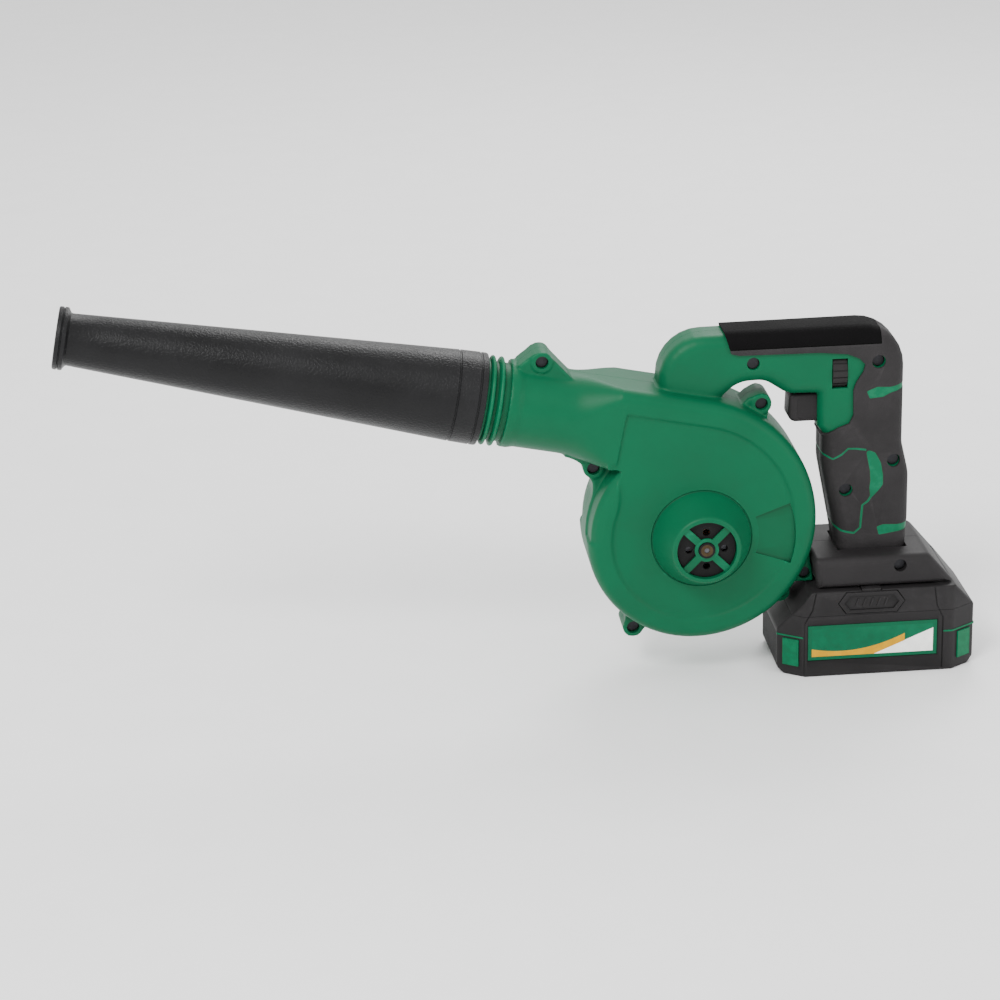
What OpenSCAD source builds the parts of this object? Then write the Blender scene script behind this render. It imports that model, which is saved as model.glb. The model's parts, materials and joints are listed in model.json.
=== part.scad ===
// Cordless leaf blower. The nozzle points to -X, up is +Z, and the motor side faces -Y.
// The origin is the middle of the battery's underside, which the blower stands on.

/* [Fan case] */
// Distance from the battery's front forward to the fan's axis
fan_ahead = 48; // [40:1:60]
// Height of the fan's axis above the table
fan_height = 94; // [90:1:114]
// Half the width of the fan case, from the split line to its flat face
case_half = 29; // [27:0.5:36]
// Radius of the scroll where it is tightest
scroll_r = 68; // [67:0.5:70]
// How much the scroll grows through its lower rear quarter
scroll_grow_low = 8; // [6:0.5:10]
// How much the scroll grows through its upper rear quarter
scroll_grow_high = 5; // [4:0.5:8]
// How far the middle of the scroll lies ahead of the fan's axis
scroll_shift = 3; // [1:0.5:4]
// Radius of the notch between the scroll and the outlet duct
tongue_r = 22; // [16:1:26]
// Wall of the housing halves
wall = 2.5; // [2:0.1:3]
// Broken edge around the flat faces of the fan case
case_edge = 5; // [3:0.5:6]

/* [Outlet and nozzle] */
// Upward tilt of the outlet duct and the nozzle, in degrees
duct_tilt = 11.6; // [6:0.2:14]
// Outer diameter of the outlet duct
duct_d = 53; // [51:0.5:57]
// Length of the duct from the fan's axis to the ribbed neck
duct_l = 134; // [125:1:160]
// Diameter of the neck between its ribs
neck_d = 49; // [48:0.5:50]
// Diameter over the ribs of the neck
rib_d = 56; // [54:0.5:58]
// Distance from one rib of the neck to the next
rib_pitch = 5.4; // [5:0.1:7]
// Outer diameter of the spigot that the nozzle pushes onto
spigot_d = 50.6; // [50:0.1:52]
// Length of the spigot
spigot_l = 34; // [28:1:42]
// Radial clearance between the spigot and the nozzle
nozzle_clear = 0.35; // [0.3:0.05:0.5]
// Length of the nozzle
nozzle_l = 262; // [218:1:315]
// Outer diameter of the nozzle's cuff
cuff_d = 57.6; // [57:0.1:60]
// Length of the nozzle's cuff
cuff_l = 19; // [16:1:24]
// Outer diameter of the nozzle at its mouth
mouth_d = 32; // [27:0.5:38]
// Wall of the nozzle
nozzle_wall = 2.6; // [2:0.1:3]
// Outer diameter of the ring around the mouth
mouth_ring_d = 38.6; // [36:0.1:44]
// Width of the ring around the mouth
mouth_ring_w = 6.5; // [5:0.5:9]
// Thickness of the rubber ring that seals the nozzle
seal_d = 2.4; // [2:0.1:2.6]

/* [Motor and fan wheel] */
// Diameter of the motor
motor_d = 36; // [33:0.1:37]
// Length of the motor's steel can
can_l = 38; // [34:0.5:39]
// Sheet thickness of the motor's can
can_wall = 1.2; // [1:0.1:1.5]
// Diameter of the motor's shaft
shaft_d = 3.2; // [3:0.1:5]
// Radial running clearance of the shaft in its bearings
shaft_clear = 0.04; // [0.02:0.01:0.08]
// Diameter of the bearing boss at each end of the motor
boss_d = 10; // [9:0.1:11]
// Outer radius of the motor collar at its mouth
collar_r = 21.5; // [21:0.1:24]
// Outer radius of the motor collar where it leaves the case
collar_base_r = 31; // [29:0.5:34]
// How far the collar stands out from the case
collar_h = 21; // [20:0.5:24]
// Diameter of the fan wheel
wheel_d = 116; // [100:1:118]
// Height of the fan wheel's blades
blade_h = 20.5; // [16:0.5:21]
// Number of blades
blades = 9; // [7:1:12]
// Radius of the air inlet
inlet_r = 33; // [28:0.5:38]

/* [Handle] */
// Height of the top of the handle
handle_top = 221; // [214:1:250]
// Height of the handle's bar, from its top to its underside
bar_h = 33; // [31:0.5:36]
// Half the width of the handle and the grip under the soft skin
handle_half = 15.5; // [14.5:0.5:18]
// Distance from the battery's front back to the grip's front face
grip_setback = 32; // [30:0.5:38]
// Depth of the grip from front to back
grip_deep = 47; // [45:0.5:56]
// Thickness of the soft skin
skin = 1.8; // [1.2:0.1:2.5]
// Height of the trigger's lower edge
trigger_z = 160.5; // [158:0.5:162]
// Height of the trigger
trigger_h = 18; // [15:0.5:18]
// Width of the trigger
trigger_w = 17; // [14:0.5:19]
// How far the trigger stands out of the handle
trigger_out = 18; // [14:0.5:20]
// Travel of the trigger
trigger_travel = 6; // [4:0.5:7]
// Diameter of the speed dial
dial_d = 25; // [22:0.5:27]
// Width of the speed dial
dial_w = 9; // [7:0.5:10]
// How far the dial stands out of the handle's side
dial_out = 1.6; // [1:0.1:2.5]

/* [Foot and battery] */
// Length of the battery
battery_l = 126; // [122:1:152]
// Width of the battery
battery_w = 75; // [74:1:90]
// Height of the battery up to the foot
battery_h = 57; // [56.5:0.5:60]
// Length of the battery's slanted corners
corner_l = 16; // [12:0.5:20]
// Depth of the battery's slanted corners
corner_w = 11; // [8:0.5:14]
// Wall of the battery case
battery_wall = 2.2; // [1.8:0.1:2.6]
// Height of the seam between the battery's lower and upper case
battery_seam = 41; // [40.8:0.1:42]
// Height of the foot above the battery
foot_h = 20.5; // [19:0.5:24]
// Half the width of the foot
foot_half = 34; // [33:0.5:40]
// Gap between the foot and the battery
slide_gap = 0.5; // [0.4:0.05:0.8]
// Width across the battery's rails
rail_w = 52; // [48:0.5:56]
// Width of the release buttons
button_w = 42; // [34:1:48]
// Height of the release buttons
button_h = 14; // [12:0.5:15]
// Travel of the release buttons
button_travel = 2.5; // [2:0.1:3]
// Diameter of a cell
cell_d = 18.3; // [18:0.1:18.6]
// Length of a cell
cell_l = 65; // [64:0.5:66]

/* [Screws] */
// Diameter of a screw's head
head_d = 7; // [6:0.1:7.4]
// Diameter of the recess that a head sits in
recess_d = 8; // [7.6:0.1:9]
// Diameter of a screw's shank
shank_d = 3.5; // [3:0.1:4]
// Depth of the recess above a head
recess_h = 3; // [2:0.5:4]
// Outer diameter of a screw boss
boss_out = 13; // [12:0.5:14]

/* [Hidden] */
$fn = 64;
tiny = 0.05;
case_green = [0.02, 0.47, 0.30];
soft_black = [0.13, 0.13, 0.13];
hard_black = [0.2, 0.2, 0.2];
steel = [0.7, 0.7, 0.72];
brass = [0.8, 0.65, 0.3];
copper = [0.75, 0.4, 0.2];

// Fan case
fan_x = -battery_l / 2 - fan_ahead;
fan_z = fan_height;
fan = [fan_x, fan_z];
low_r = scroll_r + scroll_grow_low;
high_r = low_r + scroll_grow_high;
scroll_c = fan + [-scroll_shift, 0];
low_c = scroll_c + [0, scroll_grow_low];
high_c = low_c + [-scroll_grow_high, 0];

// Outlet duct: its axis leaves duct_foot along duct_dir, and the top of the duct meets the scroll
duct_r = duct_d / 2;
duct_dir = [-cos(duct_tilt), sin(duct_tilt)];
duct_up = [sin(duct_tilt), cos(duct_tilt)];
duct_foot = fan + duct_up * ((high_c - fan) * duct_up + high_r - duct_r);
duct_drop = (duct_foot - scroll_c) * duct_up;
tongue_s = (scroll_c - duct_foot) * duct_dir
    + sqrt(pow(scroll_r + tongue_r, 2) - pow(duct_drop - duct_r - tongue_r, 2));
tongue_c = duct_foot + duct_dir * tongue_s - duct_up * (duct_r + tongue_r);
bore_r = duct_r - wall;
duct_round = 3.5;

// Neck and nozzle, as distances along the duct's axis
neck_l = 14;
cuff_s = duct_l + neck_l;
cuff_bore_r = spigot_d / 2 + nozzle_clear;
seal_s = cuff_s + spigot_l / 2;
mouth_bore_r = mouth_d / 2 - nozzle_wall;

// Motor and fan wheel, along Y
collar_y = -case_half - collar_h;
guard_h = 2.6;
motor_rear = collar_y + guard_h + 0.6;
end_cap_l = 6;
can_y = motor_rear + end_cap_l;
motor_front = can_y + can_l;
motor_r = motor_d / 2;
motor_clear = 0.3;
seat_r = motor_r + motor_clear;
mount_r = seat_r + 5;
boss_l = guard_h;
plate_t = 2.5;
mount_angles = [30, 150, 270];
face_screw_r = 12.5;
vent_angles = [0, 90, 180, 270];
guard_t = 2.2;
plate_y = motor_front;
wheel_y = plate_y + plate_t + 2;
disc_t = 2;
wheel_r = wheel_d / 2;
hub_r = 9;
insert_r = 5;
stack_r = motor_r - can_wall - 3.2 - 0.6;
magnet_in_r = motor_r - can_wall - 3.2;

// Handle and grip outline, as corners of [x, z, radius]
grip_front = grip_setback - battery_l / 2;
plug_x = grip_front + 31;
fillet = 4;
bar_under = handle_top - bar_h;
foot_top = battery_h + foot_h;
case_top = high_c.y + high_r;
grip_back = grip_front + grip_deep;
grip_low_front = grip_front + 10;
trigger_top = trigger_z + trigger_h;
trigger_face = grip_front - 5;
sink = 20;
handle_corners = [
    [fan_x - 24, case_top - sink, 0],
    [fan_x - 24, handle_top - 1, 31],
    [grip_back, handle_top, 25],
    [grip_back, battery_h + 88, 20],
    [grip_back + 4.5, battery_h + 68, 30],
    [grip_back + 4.5, battery_h + 38, 30],
    [grip_back + 2, battery_h + 4, 0],
    [grip_low_front, battery_h + 4, 0],
    [grip_low_front - 0.5, foot_top + 4, 20],
    [grip_front, battery_h + 76, 40],
    [grip_front, trigger_z - 9, 8],
    [trigger_face, trigger_z - 2.5, 2],
    [trigger_face, trigger_top + 1, 0.6],
    [trigger_face - 19, trigger_top + 1.5, 14],
    [fan_x + 42, bar_under + 1.5, 14],
    [fan_x + 25, bar_under + 1, 20],
    [fan_x + 8, case_top - 10, 0],
    [fan_x + 8, case_top - sink, 0]];

// Foot outline
foot_front = grip_low_front - 17;
foot_back = grip_back + 16;
slope = 1.2;
foot_corners = [
    [foot_front, battery_h, 0],
    [foot_back + foot_h / slope, battery_h, 0],
    [foot_back, foot_top, 6],
    [foot_front - 3, foot_top, 2]];

// Screws as [x, z, half width of the piece that holds them]
lug_half = 12;
case_screws = [
    [duct_foot.x + duct_dir.x * 117 + duct_up.x * 32, duct_foot.y + duct_dir.y * 117 + duct_up.y * 32],
    [scroll_c.x - 0.82 * (scroll_r + 8), scroll_c.y + 0.58 * (scroll_r + 8)],
    [scroll_c.x - 0.52 * (scroll_r + 6), scroll_c.y - 0.86 * (scroll_r + 6)],
    [low_c.x + 0.715 * (low_r + 1.5), low_c.y - 0.685 * (low_r + 1.5)],
    [high_c.x + 0.55 * (high_r + 6), high_c.y + 0.835 * (high_r + 6)]];
handle_screws = [
    [fan_x + 34, handle_top - 19],
    [grip_back - 15, handle_top - 21],
    [grip_front + 12.5, battery_h + 60],
    [grip_back - 4.5, battery_h + 78]];
arm_screw = [foot_front + 0.5 - 7, battery_h + 6.5];
foot_screw = [grip_back - 2.5, battery_h + 14];

// Battery
corner_x = battery_l / 2 - corner_l;
corner_y = battery_w / 2 - corner_w;
front_slope_l = 20;
front_slope_h = 27;
rail_h = 4;
rail_lip = 3;
rail_front = foot_front + 2.5;
rail_back = foot_back + 8;
cell_pitch = cell_d + 0.9;
cell_rows = 5;
button_x = plug_x - 5;
button_z = battery_h - button_h / 2 - 1;
button_depth = 5;
button_clear = 0.35;
tooth_w = 12;
spring_y = battery_w / 2 - button_depth + 0.8;

// Trigger, switch and dial
switch_x = grip_front + 13;
switch_l = 26;
switch_half = 9;
switch_top = trigger_top + 0.5;
stem_d = 4;
dial_x = grip_front + 8;
dial_z = handle_top - 28;
dial_y = -handle_half - dial_out + dial_d / 2;
fit_gap = 0.4;
dial_reach = sqrt(pow(dial_d / 2, 2) - pow(handle_half - wall + dial_y, 2)) + fit_gap;

// ---------- Outlines ----------

function unit(v) = v / norm(v);

function flat(c) = [c[0], c[1]];

// Points along an arc from angle a to angle b
function arc(c, r, a, b, n = 12) =
    [for (i = [0:n]) c + r * [cos(a + (b - a) * i / n), sin(a + (b - a) * i / n)]];

// A corner at b between a and c, rounded to radius r
function corner_arc(a, b, c, r, n) =
    let (
        u = unit(a - b),
        v = unit(c - b),
        half = acos(u * v) / 2,
        mid = b + unit(u + v) * r / sin(half),
        from = b + u * r / tan(half) - mid,
        start = atan2(from.y, from.x),
        sweep = (cross(b - a, c - b) > 0 ? 1 : -1) * (180 - 2 * half))
    r == 0 ? [b] : arc(mid, r, start, start + sweep, n);

// A closed outline through corners of [x, z, radius]
function rounded(c, n = 5) =
    let (m = len(c))
    [for (i = [0:m - 1])
        let (before = flat(c[(i + m - 1) % m]), after = flat(c[(i + 1) % m]))
        each corner_arc(before, flat(c[i]), after, c[i][2], n)];

// Twice the signed area of an outline: positive when it runs counterclockwise
function turn_area(p) =
    let (m = len(p), parts = [for (i = [0:m - 1]) cross(p[i], p[(i + 1) % m])])
    parts * [for (i = [0:m - 1]) 1];

// The outline moved inwards by d
function shrink(p, d) = [for (c = inset([for (q = p) [q.x, q.y, 0]], d)) flat(c)];

// Corners of [x, z, radius] moved inwards by d: a convex corner gets tighter and a hollow one wider
function inset(c, d) =
    let (m = len(c), p = [for (q = c) flat(q)], side = turn_area(p) > 0 ? 1 : -1)
    [for (i = [0:m - 1])
        let (
            e = unit(p[i] - p[(i + m - 1) % m]),
            f = unit(p[(i + 1) % m] - p[i]),
            a = side * [-e.y, e.x],
            b = side * [-f.y, f.x],
            q = p[i] + d * (a + b) / max(1 + a * b, 0.2),
            r = c[i][2])
        [q.x, q.y, r == 0 ? 0 : max(r - side * sign(cross(e, f)) * d, 0.2)]];

// The scroll and the square part of its outlet, moved inwards by d
function scroll_outline(d) =
    let (
        to_tongue = tongue_c - scroll_c,
        tongue_a = atan2(to_tongue.y, to_tongue.x),
        up_a = 90 - duct_tilt,
        end = duct_foot + duct_dir * tongue_s)
    concat(
        arc(scroll_c, scroll_r - d, tongue_a, 270),
        arc(low_c, low_r - d, 270, 360),
        arc(high_c, high_r - d, 0, up_a),
        [end + duct_up * (duct_r - d)],
        arc(tongue_c, tongue_r + d, up_a, tongue_a - 180));

// ---------- Solids used again ----------

// Children in the XZ plane, thickened from y0 to y1
module slab(y0, y1) {
    translate([0, y1, 0])
        rotate([90, 0, 0])
            linear_extrude(y1 - y0)
                children();
}

// A round bar along Y
module bar_y(at, y0, y1, d) {
    translate([at.x, y1, at.y])
        rotate([90, 0, 0])
            cylinder(d = d, h = y1 - y0);
}

// A round bar along X
module bar_x(x0, x1, y, z, d) {
    translate([x0, y, z])
        rotate([0, 90, 0])
            cylinder(d = d, h = x1 - x0);
}

// A box between two corners
module block(low, high) {
    translate(low)
        cube(high - low);
}

// Children turned about the fan's axis: their Z runs along +Y from the height y
module on_fan(y) {
    translate([fan_x, y, fan_z])
        rotate([-90, 0, 0])
            children();
}

// Children along the duct: their Z runs towards the nozzle's mouth
module on_duct(s = 0) {
    translate([duct_foot.x + duct_dir.x * s, 0, duct_foot.y + duct_dir.y * s])
        rotate([0, duct_tilt - 90, 0])
            children();
}

// Corners joined into an outline and thickened to half on both sides, with the edges stepped in
module soft_slab(corners, half, edge) {
    slab(-half, half)
        polygon(rounded(inset(corners, edge)));
    slab(edge - half, half - edge)
        polygon(rounded(corners));
}

// Everything on one side of the split plane
module keep_side(side) {
    intersection() {
        children();
        block([-700, side < 0 ? -200 : 0, -10], [200, side < 0 ? 0 : 200, 400]);
    }
}

// A tube swept along points, with a ring of n corners at each. It never runs along level
function ring_frame(p, i, level) =
    let (
        m = len(p),
        ahead = unit(p[min(i + 1, m - 1)] - p[max(i - 1, 0)]),
        side = unit(cross(ahead, level)))
    [side, cross(ahead, side)];

module tube_along(p, d, level, n = 8) {
    m = len(p);
    corners = [for (i = [0:m - 1])
        let (f = ring_frame(p, i, level))
        for (k = [0:n - 1]) p[i] + d / 2 * (cos(360 * k / n) * f[0] + sin(360 * k / n) * f[1])];
    sides = [for (i = [0:m - 2], k = [0:n - 1])
        let (a = i * n + k, b = i * n + (k + 1) % n)
        each [[a, b + n, b], [a, a + n, b + n]]];
    near_end = [for (k = [0:n - 1]) k];
    far_end = [for (k = [n - 1:-1:0]) (m - 1) * n + k];
    polyhedron(corners, concat(sides, [near_end, far_end]), 4);
}

// A spring along Z from 0 to h
module coil(d, wire, h, turns) {
    steps = turns * 12;
    tube_along([for (i = [0:steps])
        [d / 2 * cos(i * 30), d / 2 * sin(i * 30), wire / 2 + (h - wire) * i / steps]], wire, [0, 0, 1], 6);
}

// Eased points between the chosen stops of a wire's route
function eased(p, n = 4) =
    let (m = len(p))
    concat([for (i = [0:m - 2], k = [0:n - 1])
        let (t = k / n, a = p[max(i - 1, 0)], b = p[i], c = p[i + 1], d = p[min(i + 2, m - 1)])
        let (second = 2 * a - 5 * b + 4 * c - d, third = 3 * b - a - 3 * c + d)
        0.5 * (2 * b + (c - a) * t + second * t * t + third * t * t * t)],
        [p[m - 1]]);

// ---------- Screws ----------

module screw_at(at, half) {
    head_y = -half + recess_h;
    bar_y(at, head_y, head_y + 2.6, head_d);
    bar_y(at, head_y + 2.6 - tiny, half - 4, shank_d);
}

module screw_room(at, half) {
    bar_y(at, -half - 8, -half + recess_h + 2.6, recess_d);
    bar_y(at, -half, half - 3.5, shank_d);
}

// ---------- Housing ----------

// The scroll and its outlet, moved inwards by d, with the outlet's upper edges rounded off
module case_body(d) {
    round_r = duct_r + duct_round - 2 * d;
    difference() {
        union() {
            slab(d - case_half, case_half - d)
                polygon(scroll_outline(case_edge + d));
            slab(case_edge + d - case_half, case_half - case_edge - d)
                polygon(scroll_outline(d));
        }
        on_duct(tongue_s / 3)
            difference() {
                translate([0, -case_half - 5, 0])
                    cube([duct_r + 5, 2 * case_half + 10, tongue_s]);
                translate([0, 0, -1])
                    cylinder(r = round_r, h = tongue_s + 2);
            }
    }
}

module case_outer() {
    case_body(0);
    on_duct(tongue_s - 20)
        rotate_extrude()
            polygon(neck_profile());
    case_lugs();
    on_fan(collar_y)
        cylinder(r1 = collar_r, r2 = collar_base_r, h = collar_h + 1);
}

// Half section of the duct's round end, its two ribs and the spigot
function neck_profile() =
    let (s = duct_l - tongue_s + 20, e = s + neck_l, n = neck_d / 2, r = rib_d / 2)
    [[0, 0], [duct_r - 0.2, 0], [duct_r - 0.2, s - 8], [duct_r + 1, s - 5], [duct_r + 1, s],
     [n, s + 1.2],
     [n, s + rib_pitch - 1.8], [r, s + rib_pitch - 0.6], [r, s + rib_pitch + 0.6], [n, s + rib_pitch + 1.8],
     [n, s + 2 * rib_pitch - 1.8], [r, s + 2 * rib_pitch - 0.6], [r, s + 2 * rib_pitch + 0.6],
     [spigot_d / 2, s + 2 * rib_pitch + 1.8],
     [spigot_d / 2, e + spigot_l - 2], [spigot_d / 2 - 1.5, e + spigot_l], [0, e + spigot_l]];

module case_lugs() {
    at = case_screws;
    r = boss_out / 2;
    for (p = at)
        bar_y(p, -lug_half, lug_half, boss_out);
    // Web from the front lug down to the duct
    slab(-lug_half + 2, lug_half - 2)
        polygon([for (step = [[-r - 8, -2], [2 - r, r - 1], [3, r - 0.5], [19, -12], [5, -22]]) at[0] + step]);
    // Webs from the other lugs to the scroll
    for (i = [1:4])
        let (
            c = i < 3 ? scroll_c : i == 3 ? low_c : high_c,
            v = unit(c - at[i]),
            w = [-v.y, v.x],
            root = at[i] + v * 22)
            slab(-lug_half + 2, lug_half - 2)
                polygon([at[i] - w * (r - 0.5), root - w * (r + 9), root + w * (r + 9), at[i] + w * (r - 0.5)]);
}

module arm_outer() {
    p = arm_screw;
    slab(-lug_half - 6, lug_half + 6)
        polygon([[low_c.x + 40, low_c.y - 20], [low_c.x + 50, p.y - 3],
            [p.x - 5, battery_h + slide_gap], [foot_front - 0.3, battery_h + slide_gap],
            [foot_front - 3.3, foot_top], [foot_front - 6, foot_top + 14],
            [low_c.x + 60, low_c.y]]);
}

module housing_outer() {
    case_outer();
    soft_slab(handle_corners, handle_half, fillet);
    arm_outer();
}

module housing_void() {
    // Scroll and duct
    case_body(wall);
    on_duct(tongue_s - 22)
        cylinder(r = bore_r - 1.5, h = duct_l + neck_l + spigot_l - tongue_s + 30);
    // Handle and grip
    intersection() {
        soft_slab(inset(handle_corners, wall), handle_half - wall, fillet);
        union() {
            block([fan_x - 10, -30, case_top + 3], [grip_back, 30, handle_top]);
            block([grip_front - 10, -30, battery_h], [grip_back + 20, 30, handle_top]);
        }
    }
    // Way for the wires through the arm and the foot of the grip
    block([low_c.x + low_r - 22, -11, battery_h + 9], [grip_back, 11, battery_h + 16]);
}

module motor_room() {
    on_fan(collar_y + guard_h)
        cylinder(r = seat_r, h = collar_h + wall + 2);
    on_fan(collar_y - 1)
        cylinder(d = boss_d + 2 * motor_clear, h = guard_h + 2);
    // Four vents between the spokes
    on_fan(collar_y - 1)
        difference() {
            cylinder(r = collar_r - 3, h = guard_h + 2);
            translate([0, 0, -1])
                cylinder(r = boss_d / 2 + 2.6, h = guard_h + 4);
            for (a = [45, 135])
                rotate(a)
                    translate([-30, -1.8, -1])
                        cube([60, 3.6, guard_h + 4]);
        }
}

// The tube inside the case that holds the motor
module motor_seat() {
    on_fan(-case_half + 0.5)
        difference() {
            cylinder(r = seat_r + 2.2, h = plate_y + case_half - 1);
            translate([0, 0, -1])
                cylinder(r = seat_r, h = 60);
        }
    for (a = mount_angles)
        on_fan(-case_half + 0.5)
            rotate(a)
                translate([mount_r, 0, 0])
                    difference() {
                        cylinder(d = 8, h = plate_y + case_half - 0.5);
                        translate([0, 0, 4])
                            cylinder(d = 2.6, h = 60);
                    }
}

module housing_bosses() {
    intersection() {
        for (p = handle_screws)
            bar_y(p, wall / 2 - handle_half, handle_half - wall / 2, boss_out - 3);
        slab(-handle_half, handle_half)
            polygon(rounded(inset(handle_corners, fillet)));
    }
    bar_y(arm_screw, -lug_half - 4, lug_half + 4, boss_out - 3);
}

module all_screw_rooms() {
    for (p = case_screws)
        screw_room(p, lug_half);
    for (p = handle_screws)
        screw_room(p, handle_half + skin - 1);
    screw_room(arm_screw, lug_half + 6);
    screw_room(foot_screw, foot_half - 1);
}

module trigger_slot() {
    block([trigger_face - 3, -trigger_w / 2 - fit_gap, trigger_z - fit_gap],
        [grip_front + 8, trigger_w / 2 + fit_gap, trigger_top + fit_gap]);
}

module housing_half(side) {
    keep_side(side)
        difference() {
            union() {
                difference() {
                    housing_outer();
                    housing_void();
                }
                housing_bosses();
                if (side < 0)
                    motor_seat();
            }
            all_screw_rooms();
            trigger_slot();
            if (side < 0)
                motor_room();
            if (side < 0)
                wire_slot();
            if (side < 0)
                block([dial_x - dial_w / 2 - fit_gap, -40, dial_z - dial_reach],
                    [dial_x + dial_w / 2 + fit_gap, -5, dial_z + dial_reach]);
            if (side > 0)
                on_fan(0)
                    cylinder(r = inlet_r, h = case_half + 20);
            on_duct(seal_s)
                rotate_extrude()
                    translate([spigot_d / 2 - seal_d / 2 + 0.2, 0])
                        square([seal_d, seal_d], center = true);
            // The clamped seam of the foot
            block([foot_front, -60, battery_h - 1], [grip_back + 20, 60, battery_h + 9]);
        }
}

module left_housing() {
    color(case_green)
        housing_half(-1);
}

module right_housing() {
    color(case_green)
        housing_half(1);
}

// ---------- Soft skins ----------

skin_front = fan_x + 17;
pad_z = handle_top - 9;

// Where the soft skin covers the handle: the top, the rear corner and the grip
module skin_zone() {
    band = handle_top - 17.5;
    polygon([[skin_front - 3, handle_top + 9], [skin_front + 7, band], [grip_back - 22, band],
        [grip_back - 14, band - 8], [grip_back - 23, band - 22], [grip_back - 23, trigger_z + 2],
        [grip_back - 28, trigger_z - 7], [grip_front - 8, trigger_z - 11],
        [grip_low_front - 20, foot_top + 1], [grip_back + 20, foot_top + 1], [grip_back + 20, handle_top + 9]]);
}

module skin_body() {
    difference() {
        intersection() {
            soft_slab(inset(handle_corners, -skin), handle_half + skin, fillet);
            slab(-60, 60)
                skin_zone();
        }
        soft_slab(handle_corners, handle_half, fillet);
        for (p = handle_screws)
            bar_y(p, -60, 60, recess_d + 0.4);
    }
}

module grip_skin(side) {
    color(hard_black)
        keep_side(side)
            difference() {
                skin_body();
                block([skin_front - 30, -60, pad_z], [grip_back - 14, 60, handle_top + 20]);
            }
}

module left_grip_skin() {
    grip_skin(-1);
}

module right_grip_skin() {
    grip_skin(1);
}

module top_pad() {
    color(soft_black)
        intersection() {
            skin_body();
            block([skin_front - 30, -60, pad_z], [grip_back - 14, 60, handle_top + 20]);
        }
}

// ---------- Foot ----------

module foot_half_shell(side) {
    low = battery_h + slide_gap;
    channel = rail_w / 2 + slide_gap;
    color(hard_black)
        keep_side(side)
            difference() {
                union() {
                    difference() {
                        intersection() {
                            soft_slab(foot_corners, foot_half, 3);
                            block([-200, -60, low], [200, 60, foot_top]);
                        }
                        // Room for the rails
                        block([foot_front - 5, -channel, low - 1],
                            [foot_back + 40, channel, low + rail_h + slide_gap]);
                    }
                    // Lips that the rails hang on
                    for (s = [-1, 1])
                        block([foot_front + 3, s > 0 ? channel - rail_lip : -channel - 2, low],
                            [rail_back + 4, s > 0 ? channel + 2 : rail_lip - channel, low + 1.4]);
                }
                // Room for the grip and its skin, which stand in the foot
                slab(-handle_half - skin - 0.05, handle_half + skin + 0.05)
                    polygon(rounded(inset(handle_corners, -skin - 0.05)));
                // Room for the terminal block and the wires
                block([foot_front - 10, -14, low - 1], [grip_back + 6, 14, battery_h + 16]);
                // Groove that the catches of the release buttons run in
                for (s = [-1, 1])
                    block([button_x - tooth_w / 2 - 0.5, s > 0 ? channel - rail_lip - 1 : -60, low - 1],
                        [200, s > 0 ? 60 : rail_lip + 1 - channel, low + 0.9]);
                screw_room(foot_screw, foot_half - 1);
            }
}

module left_foot() {
    foot_half_shell(-1);
}

module right_foot() {
    foot_half_shell(1);
}

module housing_screws() {
    color(steel) {
        for (p = case_screws)
            screw_at(p, lug_half);
        for (p = handle_screws)
            screw_at(p, handle_half + skin - 1);
        screw_at(arm_screw, lug_half + 6);
        screw_at(foot_screw, foot_half - 1);
    }
}

// ---------- Air inlet ----------

module inlet_guard() {
    rim = 4;
    color(hard_black)
        on_fan(case_half)
            union() {
                difference() {
                    cylinder(r = inlet_r + rim, h = guard_t);
                    translate([0, 0, -1])
                        cylinder(r = inlet_r - 2.5, h = 5);
                }
                difference() {
                    translate([0, 0, -wall])
                        cylinder(r = inlet_r - fit_gap, h = wall + 1);
                    translate([0, 0, -wall - 1])
                        cylinder(r = inlet_r - 2.5, h = wall + 4);
                }
                for (r = [9, 15, 21, 27])
                    difference() {
                        cylinder(r = r + 0.9, h = guard_t);
                        translate([0, 0, -1])
                            cylinder(r = r - 0.9, h = 5);
                    }
                cylinder(r = 4, h = guard_t);
                for (a = [0:45:135])
                    rotate(a)
                        translate([1 - inlet_r, -1, 0])
                            cube([2 * inlet_r - 2, 2, 2]);
            }
}

// ---------- Motor ----------

module motor_mount() {
    color(hard_black)
        on_fan(plate_y)
            difference() {
                union() {
                    cylinder(r = seat_r + 3, h = plate_t);
                    for (a = mount_angles)
                        rotate(a)
                            translate([mount_r, 0, 0])
                                cylinder(d = 9, h = plate_t);
                }
                translate([0, 0, -1])
                    cylinder(d = boss_d + 0.4, h = plate_t + 2);
                for (a = mount_angles)
                    rotate(a)
                        translate([mount_r, 0, -1])
                            cylinder(d = 3.2, h = plate_t + 2);
                for (a = [0, 180])
                    rotate(a)
                        translate([face_screw_r, 0, -1])
                            cylinder(d = 3.2, h = plate_t + 2);
            }
}

module motor_can() {
    color(steel)
        on_fan(can_y)
            difference() {
                union() {
                    cylinder(r = motor_r, h = can_l);
                    translate([0, 0, can_l - tiny])
                        cylinder(d = boss_d, h = plate_t - 0.3);
                }
                translate([0, 0, -1])
                    cylinder(r = motor_r - can_wall, h = can_l + 1 - can_wall);
                cylinder(d = boss_d - 2.4, h = can_l + 10);
                for (a = [0, 180])
                    rotate(a)
                        translate([face_screw_r, 0, can_l - 4])
                            cylinder(d = 2.6, h = 10);
            }
}

module motor_magnets() {
    color([0.25, 0.25, 0.27])
        on_fan(can_y + 6)
            difference() {
                cylinder(r = motor_r - can_wall, h = can_l - 12);
                translate([0, 0, -1])
                    cylinder(r = magnet_in_r, h = can_l);
                for (a = [0, 90])
                    rotate(a + 45)
                        translate([-30, -4, -1])
                            cube([60, 8, can_l]);
            }
}

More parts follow.
